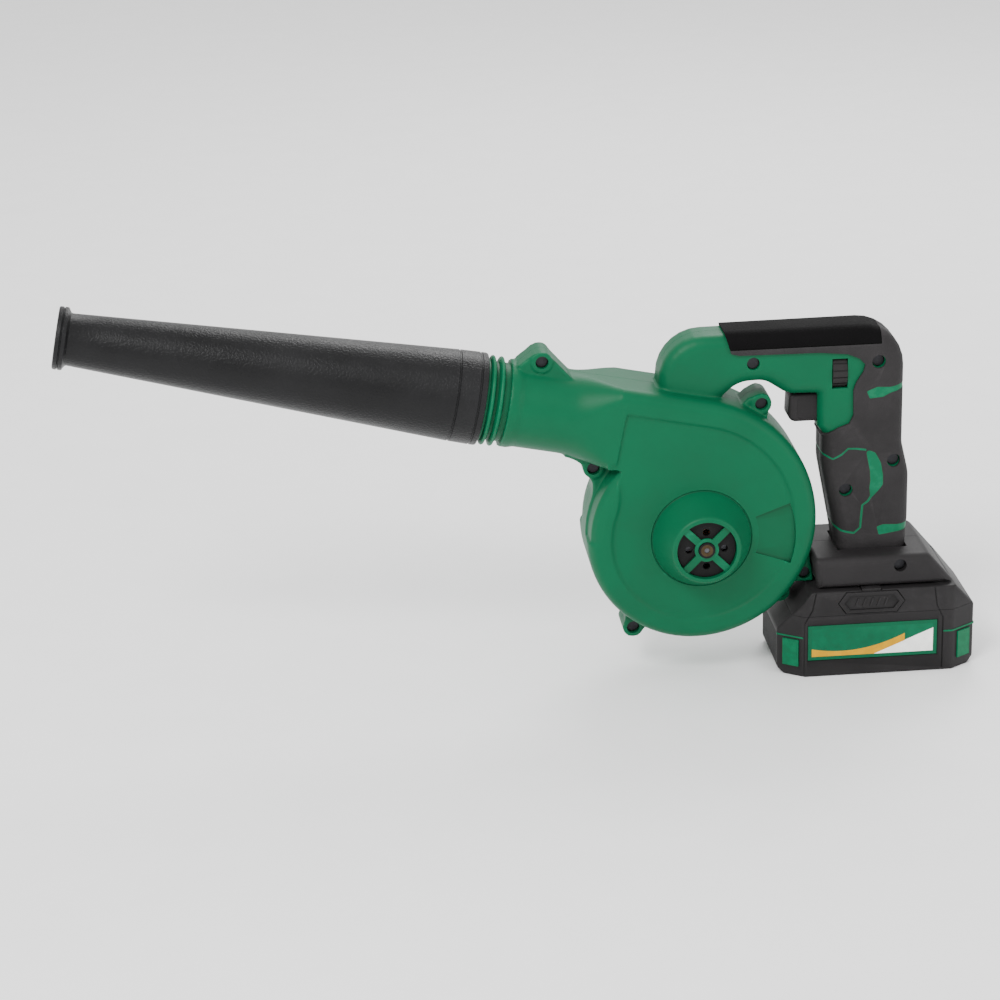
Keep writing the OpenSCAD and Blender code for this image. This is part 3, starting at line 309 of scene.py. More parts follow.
def prism(name, outline, y0, y1):
    return loft(name, [at_y(outline, y0), at_y(outline, y1)])


def through(name, outline):
    """A cutter with this outline that reaches through the whole tool."""
    return prism(name, outline, -REACH, REACH)


def bar(name, at, y0, y1, d, steps=48):
    return prism(name, arc(Vector(at), d / 2, 0, 360 - 360 / steps, steps - 1), y0, y1)


def block(name, low, high):
    outline = [(low[0], low[1]), (high[0], low[1]), (high[0], high[1]), (low[0], high[1])]
    return loft(name, [at_z(outline, low[2]), at_z(outline, high[2])])


def side_prism(name, side, outline, y0, y1):
    """A prism on the near side (-1) or the far side (1), with y counted outwards from the middle."""
    return prism(name, outline, *sorted((side * y0, side * y1)))


def side_block(name, side, low, high):
    y0, y1 = sorted((side * low[1], side * high[1]))
    return block(name, (low[0], y0, low[2]), (high[0], y1, high[2]))


print("plates and blocks ready")


# %% Turned pieces
def turned(name, profile, origin, axis, steps=96):
    """A turned piece: profile holds (radius, distance along the axis) and starts and ends on the axis,
    or is a closed section of a ring."""
    axis = Vector(axis).normalized()
    side = axis.cross(Vector((0.3, 0.2, 0.9))).normalized()
    other = axis.cross(side)
    n = len(profile)
    verts, faces = [], []
    for a in turns(steps):
        out = side * math.cos(a) + other * math.sin(a)
        verts += [Vector(origin) + axis * s + out * r for r, s in profile]
    for k in range(steps):
        j = (k + 1) % steps
        for i in range(n):
            faces.append((k * n + i, k * n + (i + 1) % n, j * n + (i + 1) % n, j * n + i))
    piece = make(name, verts, faces)
    bm = bmesh.new()
    bm.from_mesh(piece.data)
    bmesh.ops.dissolve_degenerate(bm, edges=bm.edges, dist=1e-7)
    bmesh.ops.recalc_face_normals(bm, faces=bm.faces)
    bm.to_mesh(piece.data)
    bm.free()
    return piece


print("lathe ready")

# %% [markdown]
# ## Adding, cutting and blending
# A boolean modifier adds or cuts one closed solid. Its Manifold solver is quick and always leaves a
# closed mesh, but with sharp inner corners, and a moulding has soft ones. So the large plates are first
# melted together: a voxel remesh turns them into one skin, and smoothing rounds the corners between
# them. Crisp details are cut after that.

# %% Adding and cutting
def apply_all(piece):
    bpy.context.view_layer.update()
    baked = bpy.data.meshes.new_from_object(piece.evaluated_get(bpy.context.evaluated_depsgraph_get()))
    old = piece.data
    piece.modifiers.clear()
    piece.data = baked
    bpy.data.meshes.remove(old)
    return piece


def drop(pieces):
    for p in pieces:
        bpy.data.objects.remove(p)


def combine(piece, others, how="DIFFERENCE"):
    """Adds, cuts or keeps what the others share with the piece, and clears them away."""
    for other in others:
        m = piece.modifiers.new("step", "BOOLEAN")
        m.operation, m.object, m.solver = how, other, "MANIFOLD"
        apply_all(piece)
    drop(others)
    return piece


def copy_of(piece, name):
    twin = bpy.data.objects.new(name, piece.data.copy())
    bpy.context.scene.collection.objects.link(twin)
    return twin


def halved(whole, left_name, right_name):
    """Splits a moulding along its middle into a near and a far half with a fine seam between."""
    other = copy_of(whole, right_name)
    whole.name = left_name
    combine(whole, [block("far", (-700, -SEAM, -50), (200, 300, 400))])
    combine(other, [block("near", (-700, -300, -50), (200, SEAM, 400))])
    return whole, other


print("booleans ready")


# %% Melting, edges and shading
def melted(name, pieces, voxel, smooth):
    """Overlapping solids melted into one moulding with soft inner corners."""
    bm = bmesh.new()
    for p in pieces:
        bm.from_mesh(p.data)
    piece = make(name, [], [])
    bm.to_mesh(piece.data)
    bm.free()
    drop(pieces)
    melt = piece.modifiers.new("melt", "REMESH")
    melt.mode, melt.voxel_size = "VOXEL", voxel * MM
    ease = piece.modifiers.new("ease", "SMOOTH")
    ease.factor, ease.iterations = 0.5, smooth
    return apply_all(piece)


def bevelled(piece, width, angle, segments):
    m = piece.modifiers.new("edges", "BEVEL")
    m.width, m.segments, m.limit_method = width * MM, segments, "ANGLE"
    m.angle_limit, m.harden_normals = math.radians(angle), False
    return apply_all(piece)


def shade(piece, angle):
    """Smooth shading that stays crisp where two faces meet at more than angle."""
    bm = bmesh.new()
    bm.from_mesh(piece.data)
    for f in bm.faces:
        f.smooth = True
    for e in bm.edges:
        e.smooth = len(e.link_faces) != 2 or e.calc_face_angle(0) < math.radians(angle)
    bm.to_mesh(piece.data)
    bm.free()


print("finishing steps ready")

# %% [markdown]
# ## The fan case and handle
# The scroll, its outlet and the handle are one moulding in two halves. The scroll is a loft whose
# outline shrinks towards its face, first round the edge and then down a small step to the inner disc.
# A cube could be sculpted into this shape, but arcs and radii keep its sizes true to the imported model.

# %% Handle corners
INNER = 1.35
handle_corners = [
    (FAN_X - 24, 163, 0), (FAN_X - 24, HANDLE_TOP - 1, 31), (16, HANDLE_TOP, 25), (16, 145, 20),
    (20.5, 125, 30), (20.5, 95, 30), (18, 61, 0), (-21, 61, 0), (-21.5, 81.5, 20), (-31, 133, 40),
    (-31, 151.5, 8), (-36, 158, 2), (-36, 179.5, 1), (-55, 180, 14, INNER), (-69, 189.5, 14, INNER),
    (-86, 189, 20, INNER), (-103, 173, 0, INNER), (-103, 163, 0)]
print("the handle has", len(handle_corners), "corners")


# %% Body of the scroll
def scroll_body():
    wall, edge_in, edge_rise, steps = 20.0, 7, 8.7, 7
    side = [(0, 0.0), (0, wall)]
    for i in range(1, steps + 1):
        a = math.pi / 2 * i / steps
        side.append((edge_in * (1 - math.cos(a)), wall + edge_rise * math.sin(a)))
    side += [(13.2, CASE_HALF), (14.2, CASE_HALF - 0.2), (15.6, CASE_HALF - 1.5), (16.8, CASE_HALF - 1.7)]
    return mirrored_loft("case_body", scroll_outline, side)


body = scroll_body()
tell("scroll body", body)


# %% Outlet
def outlet_loft(start=62, rings=15, first_corner=8):
    """The outlet's change of section, from the scroll's rounded square to the round duct."""
    radius = DUCT_R - 0.1
    end = tongue_s + 4
    loops = []
    for k in range(rings):
        t = k / (rings - 1)
        ease = t * t * (3 - 2 * t)
        s = start + (end - start) * t
        wide = CASE_HALF - (CASE_HALF - radius) * ease
        corner = first_corner + (radius - first_corner) * ease
        ring = []
        for quarter, (sy, su) in enumerate(((1, 1), (-1, 1), (-1, -1), (1, -1))):
            for m in range(19):
                a = math.radians(90 * quarter + 5 * m)
                p = on_duct(s, su * (radius - corner) + corner * math.sin(a))
                ring.append((p.x, sy * (wide - corner) + corner * math.cos(a), p.z))
        loops.append(ring)
    return loft("outlet", loops)


outlet = outlet_loft()
tell("outlet", outlet)


# %% Hollows beside the tongue
def duct_area(name, corners):
    """A cutter whose corners are given along the duct and above its axis."""
    return through(name, [(p.x, p.z) for p in (on_duct(s, u) for s, u in corners)])


def valley():
    """What is cut away beside the tongue, so that the scroll's own wall runs on round behind the lug."""
    wall_r, clear, floor_y = SCROLL_R - 2, CASE_HALF + 6, LUG_HALF - 1
    profile = [(wall_r - 8, clear), (wall_r - 8, CASE_HALF), (wall_r - 3, CASE_HALF - 1.3),
               (wall_r, CASE_HALF - 4.5), (wall_r + 0.6, 14), (wall_r + 0.6, floor_y), (110, floor_y),
               (110, clear)]
    pieces = []
    for side in (-1, 1):
        ring = turned("ring", profile, (scroll_c.x, 0, scroll_c.y), (0, side, 0))
        keep = duct_area("keep", ((58, -25), (130, -25), (130, -75), (62, -75)))
        pieces.append(combine(ring, [keep], "INTERSECT"))
    return pieces


beyond_duct = duct_area("beyond", ((67, -26), (130, -26), (130, 80), (67, 80)))
combine(body, [beyond_duct] + valley())
gusset = prism("gusset", scroll_outline(0.3), 1 - LUG_HALF, LUG_HALF - 1)
combine(gusset, [duct_area("area", ((56, -18), (130, -18), (130, -75), (56, -75)))], "INTERSECT")
tell("body after cutting", body)

# %% Duct and collar
duct_end = [(DUCT_R + 0.9, duct_l - 5), (DUCT_R + 0.9, duct_l), (0, duct_l)]
duct = turned("duct", [(0, tongue_s - 20), (DUCT_R - 0.2, tongue_s - 20), (DUCT_R - 0.2, duct_l - 9)]
              + duct_end, on_duct(0), DUCT_AXIS)
collar = turned("collar", [(0, COLLAR_Y), (20.6, COLLAR_Y), (21.5, COLLAR_Y + 0.8), (30.6, -29.2),
                           (30.6, -18), (0, -18)], (FAN_X, 0, FAN_Z), (0, 1, 0))
print("duct and collar turned")

# %% Webs of the lugs
lug_webs = [[case_screws[0] + Vector(v) for v in
             ((-LUG_R - 8, -2), (-LUG_R + 2, LUG_R - 1), (3, LUG_R - 0.5), (19, -12), (5, -22))]]
for at, centre in zip(case_screws[1:], (scroll_c, scroll_c, low_c, high_c)):
    inwards = (centre - at).normalized()
    aside = Vector((-inwards.y, inwards.x))
    root = at + inwards * 22
    lug_webs.append([at - aside * 6, root - aside * 15.5, root + aside * 15.5, at + aside * 6])
lug_webs.append([case_screws[4] + Vector(v) for v in ((-21, -9), (-8, 3.6), (-2, 6.2), (5, 2), (0, -16))])
print(len(lug_webs), "webs")

# %% Melt the case, duct, lugs and handle together
arm = [(low_c.x + 40, low_c.y - 20), (low_c.x + 50, 60.5), (arm_screw.x - 5, 57.6), (-38.3, 57.6),
       (-41.3, 77.5), (-44, 91.5), (low_c.x + 60, low_c.y)]
parts = [body, outlet, gusset, duct, collar, soft_plate("handle", handle_corners, HANDLE_HALF, 7.5),
         prism("arm", arm, -17.8, 17.8)]
parts += [bar("lug", p, -LUG_HALF, LUG_HALF, 2 * LUG_R) for p in case_screws]
parts += [prism("web", o, -LUG_HALF + 1, LUG_HALF - 1) for o in lug_webs]
case = melted("case", parts, voxel=0.85, smooth=4)
tell("case moulding", case)

# %% [markdown]
# ## Openings of the case
# The screws sit in round recesses on the near side, and the motor shows between four spokes that hold
# the collar's hub. These edges are crisp on a real moulding, so they are cut after the melting. Each
# cutter reaches past the wall, because two faces at the same place make a boolean uncertain.

# %% Recesses of the screws
def screw_hole(at, half, depth=5.6, d=8):
    return bar("hole", at, -half - 9, -half + depth, d)


spots = [(p, LUG_HALF) for p in case_screws] + [(arm_screw, LUG_HALF + 6)]
spots += [(p, HANDLE_HALF + 0.8) for p in handle_screws]
cutters = [screw_hole(p, half) for p, half in spots]
print(len(cutters), "screw recesses")

# %% Mouth of the collar, with vents between its spokes
MOUTH_R, HUB_D, HUB_HOLE_D, SPOKE_W, MOTOR_D = 18.6, 15, 10.6, 4.6, 36.7
cutters.append(bar("mouth", fan_c, COLLAR_Y - 2, COLLAR_Y + 1.5, 2 * MOUTH_R))
vents = bar("vents", fan_c, COLLAR_Y - 2, COLLAR_Y + 6, 2 * (MOUTH_R - 0.05), 96)
solid = [bar("hub", fan_c, COLLAR_Y - 3, COLLAR_Y + 7, HUB_D)]
for a in (45, 135):
    d = Vector((math.cos(math.radians(a)), math.sin(math.radians(a))))
    spoke = band([fan_c - d * 25, fan_c + d * 25], SPOKE_W)
    solid.append(prism("spoke", spoke, COLLAR_Y - 3, COLLAR_Y + 7))
cutters.append(combine(vents, solid))
cutters.append(bar("hub_hole", fan_c, COLLAR_Y - 2, COLLAR_Y + 6, HUB_HOLE_D))
cutters.append(bar("motor_room", fan_c, COLLAR_Y + 2.8, -2, MOTOR_D))
print("the mouth is", 2 * MOUTH_R, "wide")

# %% Fan chamber, air inlet and bore of the duct
cutters.append(bar("chamber", fan_c, -1.5, 26.2, 2 * 60, 96))
cutters.append(bar("inlet", fan_c, 20, 40, 66, 96))
cutters.append(turned("bore", [(0, 20), (BORE_R, 20), (BORE_R, 200), (0, 200)], on_duct(0), DUCT_AXIS))
print(len(cutters), "cutters so far")

# %% Groove round the collar, panel, slot of the trigger and window of the dial
groove = [(31.2 + 0.75 * math.cos(t), -CASE_HALF + 1.4 + 0.75 * math.sin(t)) for t in turns(10)]
cutters.append(turned("groove", groove, (FAN_X, 0, FAN_Z), (0, 1, 0)))
panel = arc(fan_c, 36, -19, 20, 16) + arc(fan_c, 59, 20, -19, 16)
cutters.append(prism("panel", panel, -CASE_HALF - 4, -CASE_HALF + 2.1))
cutters.append(block("slot", (-40, -8.9, 160.1), (-23, 8.9, 178.9)))
cutters.append(block("window", (-27.9, -40, 183.4), (-18.1, -5, 202.6)))
combine(case, cutters)
tell("case after cutting", case)

# %% [markdown]
# ## The ribbed neck
# Two ribs stiffen the neck, and a plain spigot reaches into the nozzle. They are round and crisp, so
# they are turned from one profile. The whole case is then split along its middle, because the real one
# is two halves that the screws hold together.

# %% Neck, and the two halves
RIB_PITCH, ROOT_R, SPIGOT_R = 5.4, 24.5, 25.3
spigot_end = cuff_s + spigot_l
neck_side = [(ROOT_R, duct_l - 4), (ROOT_R, duct_l + 1.2)]
for k in (1, 2):
    top = duct_l + k * RIB_PITCH
    neck_side += [(ROOT_R, top - 2.0), (25.2, top - 1.8), (27.6, top - 0.8), (28, top), (27.6, top + 0.8),
                  (25.2, top + 1.8), (ROOT_R, top + 2.0)]
neck_side += [(SPIGOT_R, duct_l + 12.8), (SPIGOT_R, spigot_end - 1.6), (23.9, spigot_end),
              (BORE_R, spigot_end), (BORE_R, duct_l - 4)]
combine(case, [turned("neck", neck_side, on_duct(0), DUCT_AXIS)], "UNION")
left_case, right_case = halved(case, "left_case", "right_case")
tell("halves", left_case, right_case)

# %% [markdown]
# ## Soft skin of the handle
# A second shot of soft rubber covers the top of the handle and the grip. A solidify modifier would give
# it a ragged rim. So the skin is the handle's own shape grown by its thickness, kept only inside a zone,
# with the handle taken away from it again. Green plastic shows through in thin lines and patches, which
# are separate inlays set into the skin.

# %% Zone of the skin
PAD_Z = 212.0
zone = [(-97, 232), (-94.6, 222), (-91, 209.5), (-86, 208.2), (-36, 207.6), (-18.5, 205.8), (-11, 202.5),
        (-7.5, 198.5), (-8.6, 194), (-13, 187), (-14.7, 182), (-14.4, 166), (-17, 160.5), (-24, 158),
        (-30, 154.5), (-39, 150), (-46, 140), (-41, 76.5), (36, 76.5), (36, 232)]


def skin_layer(name, outline, thick):
    shell = soft_plate(name, handle_corners, HANDLE_HALF + thick, 8.8, 7, -thick)
    combine(shell, [through("zone", outline)], "INTERSECT")
    return combine(shell, [soft_plate("inner", handle_corners, HANDLE_HALF, 7.5, 7)])


skin = skin_layer("skin", zone, SKIN)
tell("skin", skin)

# %% Outlines of the inlays
crescent = rounded([(-6.5, 143.6, 2), (-0.3, 141, 3), (3.4, 134, 5), (4.9, 125.8, 6), (4.9, 119.5, 2),
                    (2.3, 115.9, 2), (-2.9, 110.4, 1), (-3.6, 117.7, 4), (-3.1, 123, 5),
                    (-3.5, 129.2, 5), (-5, 136.4, 5)])
upper_line = band([(-6, 143), (-12, 144), (-17.4, 144.3), (-21.5, 140.6), (-26.9, 137.8), (-31, 139.6),
                   (-40, 142)], 1.3)
lower_line = band([(-2.6, 112), (-4.4, 109), (-7.9, 106.4), (-8.6, 98), (-9, 91.6), (-13, 88.2),
                   (-20.7, 89.7), (-26.2, 92.9), (-34, 95)], 1.5)
rear_strip = rounded([(-6.5, 181.2, 1), (0.2, 183.8, 2), (8, 183.4, 2), (24, 186, 1), (24, 182.6, 1),
                      (9, 179.8, 2), (4, 177.2, 2), (-4.4, 176.4, 1)])
low_patch = rounded([(1.4, 91.6, 1), (5.5, 93, 2), (14, 92.6, 2), (28, 93, 1), (28, 88.6, 1),
                     (13.2, 87.6, 2), (2.9, 86, 1)])
inlay_outlines = [crescent, upper_line, lower_line, rear_strip, low_patch]
print(len(inlay_outlines), "inlays")

# %% Skins, top pad and inlays
combine(skin, [bar("hole", p, -REACH, 0, 8.6) for p in handle_screws]
        + [through("groove", o) for o in inlay_outlines])
top_pad = combine(copy_of(skin, "top_pad_skin"), [block("pad", (-140, -60, PAD_Z), (2, 60, 260))],
                  "INTERSECT")
combine(skin, [block("pad_gap", (-140, -60, PAD_Z - 0.5), (2.5, 60, 260))])
left_skin, right_skin = halved(skin, "left_skin", "right_skin")
for p in (left_skin, right_skin, top_pad):
    bevelled(p, 0.45, 40, 2)
inlays = [skin_layer("inlay", o, SKIN - 0.15) for o in inlay_outlines]
grip_inlays = inlays[0]
grip_inlays.name = "grip_inlays"
combine(grip_inlays, inlays[1:], "UNION")
tell("skin, pad and inlays", left_skin, top_pad, grip_inlays)

# %% [markdown]
# ## The foot
# The foot clamps round the lower end of the grip and carries the rails of the battery. It is cut from
# one rounded plate, so that its halves meet in the same outline, with square channels inside.

# %% Foot plate
CHANNEL = 26.5
foot_front = -38.0
foot_corners = [(foot_front, 57, 0), (49.1, 57, 0), (32, 77.5, 7), (-41, 77.5, 3)]
foot = soft_plate("foot", foot_corners, FOOT_HALF, 5.5)
tell("foot plate", foot)

# %% Rail channels, catches and screw of the foot
grip_gap = SKIN + 0.05
grip_hole = prism("grip_hole", rounded(handle_corners, -grip_gap), -HANDLE_HALF - grip_gap,
                  HANDLE_HALF + grip_gap)
arm_edge = prism("arm_edge", [(-60, 50), (foot_front - 0.2, 50), (foot_front - 0.2, 57.5), (-41.2, 77.6),
                              (-41.2, 100), (-60, 100)], -18.4, 18.4)
rooms = [block("under", (-200, -REACH, 40), (200, REACH, 57.5)),
         block("channel", (-60, 5 - CHANNEL, 56), (90, CHANNEL - 5, 62))]
for low, high in (((-60, CHANNEL - 6, 58.9), (90, CHANNEL, 62)),
                  ((-60, CHANNEL - 6, 56), (-35, CHANNEL, 59.5)), ((-60, 20, 56), (90, 23.5, 59.5))):
    rooms += [side_block("rail_room", side, low, high) for side in (1, -1)]
rooms += [grip_hole, arm_edge, block("terminals", (-48, -14, 56), (22, 14, 73))]
rooms += [side_block("catch_room", side, (-11.5, 22.5, 56), (90, 60, 58.4)) for side in (1, -1)]
rooms += [bar("screw", foot_screw, -REACH, -27.4, 8), bar("shank", foot_screw, -REACH, REACH, 3.6)]
combine(foot, rooms)
tell("foot after cutting", foot)

# %% Step along the foot's lower side, and its halves
for side in (-1, 1):
    combine(foot, [side_block("step", side, (-60, 33.4, 60.2), (90, 40, 60.9))])
left_foot, right_foot = halved(foot, "left_foot_shell", "right_foot_shell")
tell("left half of the foot", left_foot)

# %% [markdown]
# ## The trigger
# The trigger is a rounded block with a sunken panel on each side, and a stem that reaches the switch. It
# is a small soft plate, as the handle is, because both have the same kind of edge.

# %% Trigger
trigger_corners = [(-54, 160.5, 5), (-30, 160.5, 1), (-30, 178.5, 1), (-53, 178.5, 3)]
trigger = soft_plate("trigger_blade", trigger_corners, 8.5, 2.2)
trigger_panel = rounded([(-48.5, 162.6, 2), (-33, 162.6, 1), (-33, 176.8, 1), (-48, 176.8, 2)])
combine(trigger, [side_prism("panel", side, trigger_panel, 8.05, 12) for side in (-1, 1)])
bevelled(trigger, 0.25, 50, 2)
stem_r, stem_z = 2, 169.5
stem = loft("stem", [[(x, stem_r * math.cos(a), stem_z + stem_r * math.sin(a)) for a in turns(24)]
                     for x in (-31, -16)])
combine(trigger, [stem], "UNION")
tell("trigger", trigger)

# %% [markdown]
# ## The nozzle
# The nozzle is one long round moulding: a cuff with two fine grooves, a straight taper, and a ring that
# stiffens the mouth. One profile turned about the axis of the duct gives its outside and its bore.


# %% Nozzle
def nozzle_profile(length=262.0, cuff=19.0, cuff_r=28.8, mouth_r=16.0, ring_r=19.3, groove=0.55):
    side = [(25.65, 0), (cuff_r - 1.2, 0), (cuff_r - 0.3, 0.35), (cuff_r, 1.2)]
    for at, r in ((4.3, cuff_r), (cuff - 1.5, cuff_r - 0.3)):
        side += [(r, at - 0.75), (r - groove, at - 0.4), (r - groove, at + 0.4), (r, at + 0.75)]
    taper_r, taper_at, taper_end, steps = 28.35, cuff + 1.5, length - 8.5, 12
    for k in range(steps + 1):
        t = k / steps
        side.append((taper_r + (mouth_r - taper_r) * t, taper_at + (taper_end - taper_at) * t))
    ring = [(mouth_r + 0.4, 7.6), (ring_r - 1.2, 6.5), (ring_r - 0.3, 6.1), (ring_r, 5.2), (ring_r, 3.9),
            (ring_r - groove, 3.4), (ring_r - groove, 3.1), (ring_r, 2.6), (ring_r, 1.1),
            (ring_r - 0.35, 0.3), (ring_r - 1.2, 0), (14.2, 0), (13.5, 0.8), (13.4, 12)]
    return side + [(r, length - back) for r, back in ring] + [(24.2, 40), (25.65, 35)]


nozzle = turned("nozzle_tube", nozzle_profile(), on_duct(cuff_s + 0.3), DUCT_AXIS, 144)
tell("nozzle", nozzle)

# %% [markdown]
# ## The battery
# The battery's case is two mouldings that meet in a level seam. Both are cut from one solid, so that
# their walls are in line: what the plan with its cut corners and the side view with its raked ends
# share. Fine ribs run up the end face, shallow recesses sit in the corners, and a release button with a
# sunken hexagon is on each side.


# %% Solid of the battery
def battery_plan(d):
    """The battery from above, moved inwards by d."""
    x, y, cx, cy = BATTERY_L / 2 - d, BATTERY_W / 2 - d, 47 - d * 0.7, 26.5 - d * 0.6
    return [(-x, -cy), (-cx, -y), (cx, -y), (x, -cy), (x, cy), (cx, y), (-cx, y), (-x, cy)]


def battery_solid(name, d):
    x, top = BATTERY_L / 2 - d, BATTERY_H - d
    side = [(-59, d), (59, d), (x, 4 + d * 0.4), (x, 40 - d * 0.4), (48.8 - d * 0.5, top),
            (-43 + d * 0.3, top), (-x, 30 - d * 0.7), (-x, 4 + d * 0.4)]
    solid = loft(name, [at_z(battery_plan(d), -1), at_z(battery_plan(d), 60)])
    return combine(solid, [through("side", side)], "INTERSECT")


battery = bevelled(battery_solid("battery", 0), 1.3, 20, 3)
combine(battery, [battery_solid("inside", 2.2)])
tell("battery shell", battery)

# %% Rooms on the battery's sides
BUTTON_X, BUTTON_Z = -5, 49


def hexagon(gap, w=21.0, h=7.0, cut=5.0):
    """The release button's outline, with a gap round it."""
    w, h = w + gap, h + gap
    return [(BUTTON_X + a, BUTTON_Z + b) for a, b in
            ((cut - w, -h), (w - cut, -h), (w, 0), (w - cut, h), (cut - w, h), (-w, 0))]


rooms = []
for side in (-1, 1):
    rooms += [side_block("label_room", side, (-45.5, 36.5, 11), (37.5, 45, 35)),
              side_prism("button_room", side, hexagon(0.35), 29.65, 60),
              side_block("catch_room", side, (-11.5, 28.5, 52), (1.5, 60, 59))]
    # Grooves that frame the side panel
    for x, lean, end in ((-47.6, 5, 8), (40.6, -4, -6)):
        line = band([(x, 2), (x, 36), (x + lean, 45), (x + end, 60)], 0.9)
        rooms.append(side_prism("frame_line", side, line, 36.9, 45))
rooms.append(block("window", (-10, -10, 47), (20, 10, 60)))
print(len(rooms), "rooms")


# %% Inlay rooms, screw rooms and end ribs
def inlay_room(sx, sy):
    """A shallow recess across one of the cut corners."""
    room = block("inlay_room", (-5.5, -1, -9), (5.5, 1, 9))
    a = math.atan2(-11, 16)
    for v in room.data.vertices:
        x, y, z = v.co / MM
        q = Vector((x * math.cos(a) - y * math.sin(a) + 55, x * math.sin(a) + y * math.cos(a) + 32, z + 16))
        v.co = Vector((q.x * sx, q.y * sy, q.z)) * MM
    if sx * sy < 0:
        room.data.flip_normals()
    return room


def screw_room(sx, sy, r=2.5):
    return loft("screw_room", [[(sx * 51.6 + r * math.cos(t), sy * 23.5 + r * math.sin(t), z)
                                for t in turns(32)] for z in (-1, 3)])


for sx in (-1, 1):
    for sy in (-1, 1):
        rooms += [inlay_room(sx, sy), screw_room(sx, sy)]
rib_pitch, rib_gap, first_rib = 2.6, 1.1, -23.4
for k in range(19):
    y = first_rib + rib_pitch * k
    rooms.append(block("rib", (-66, y, 6), (-62.45, y + rib_gap, 27)))
combine(battery, rooms)
tell("battery after cutting", battery)

# %% Lower and upper case
lower = battery
upper = copy_of(lower, "battery_upper")
lower.name = "battery_lower"
combine(lower, [block("over", (-200, -100, 40.85), (200, 100, 80))])
combine(upper, [block("below", (-200, -100, -5), (200, 100, 41.05))])
rails = []
for side in (-1, 1):
    rails += [side_block("seat", side, (-13, 25.3, 44.5), (3, 27.3, 55.6)),
              side_block("post", side, (-35.5, 17, 54), (40, 21, 61.0)),
              side_block("lip", side, (-35.5, 17.001, 59.4), (40, 26, 60.9))]
combine(upper, rails, "UNION")
tell("battery halves", lower, upper)

# %% Green line round the battery
line_z, line_tall, line_proud = 26.2, 1.0, 0.25
line_top = line_z + line_tall
battery_line = loft("battery_line", [at_z(battery_plan(-line_proud), z) for z in (line_z, line_top)])
inside = loft("inside", [at_z(battery_plan(0.8), z) for z in (line_z - 1, line_top + 1)])
combine(battery_line, [inside, block("panels", (-48.2, -60, line_z - 2), (41.2, 60, line_z + 4)),
                       block("end", (-70, -25, line_z - 2), (-60, 25, line_z + 4))])
tell("line", battery_line)


# %% Release buttons
def release_button(name, side):
    """A six-sided plate with five slanted ribs in its dish, and the catch behind it."""
    plate = side_prism("button", side, hexagon(0), 33.5, 38.1)
    bevelled(plate, 0.5, 30, 2)
    combine(plate, [side_prism("dish", side, hexagon(0, 17.4, 4.6, 3.6), 37.45, 40)])
    added = []
    for k in (-2, -1, 0, 1, 2):
        x = BUTTON_X + k * 4.6
        added.append(side_prism("rib", side, band([(x - 1, 46.2), (x + 1, 51.8)], 1.1), 37.0, 37.95))
    added.append(side_block("catch", side, (-11, 31.45, 53), (1, 36.5, 57.7)))
    combine(plate, added, "UNION")
    plate.name = name
    return plate


left_button, right_button = release_button("left_release", -1), release_button("right_release", 1)
tell("each button", left_button)

# %% [markdown]
# ## Wires and nodes
# A finish is a small network of nodes. One could be drawn by hand in the shader editor, but a dozen
# share the same steps. The Wire class lets values be added and multiplied as ordinary arithmetic, and
# each operation becomes one Math node. Colours never go through Math nodes, which would turn them grey.

# %% Wires
class Wire:
    """A value in a finish. Arithmetic on wires adds Math nodes."""
    def __init__(self, finish, socket):
        self.finish, self.socket = finish, socket

    def math(self, operation, first, second):
        return self.finish.node("ShaderNodeMath", {"operation": operation}, {0: first, 1: second})

    def __add__(self, other):
        return self.math("ADD", self, other)

    def __radd__(self, other):
        return self.math("ADD", other, self)

    def __sub__(self, other):
        return self.math("SUBTRACT", self, other)

    def __rsub__(self, other):
        return self.math("SUBTRACT", other, self)

    def __mul__(self, other):
        return self.math("MULTIPLY", self, other)

    def __rmul__(self, other):
        return self.math("MULTIPLY", other, self)

    def __gt__(self, other):
        return self.math("GREATER_THAN", self, other)

    def __lt__(self, other):
        return self.math("LESS_THAN", self, other)

    def spread(self, low, high, to_low=0.0, to_high=1.0):
        """The values from low to high, spread out from to_low to to_high."""
        ends = {"Value": self, "From Min": low, "From Max": high, "To Min": to_low, "To Max": to_high}
        return self.finish.node("ShaderNodeMapRange", {"clamp": True}, ends)

    def blend(self, a, b):
        """Colour a where this wire is 0 and colour b where it is 1."""
        return self.finish.node("ShaderNodeMix", {"data_type": "RGBA"}, {0: self, 6: a, 7: b}, 2)


print("wires ready")
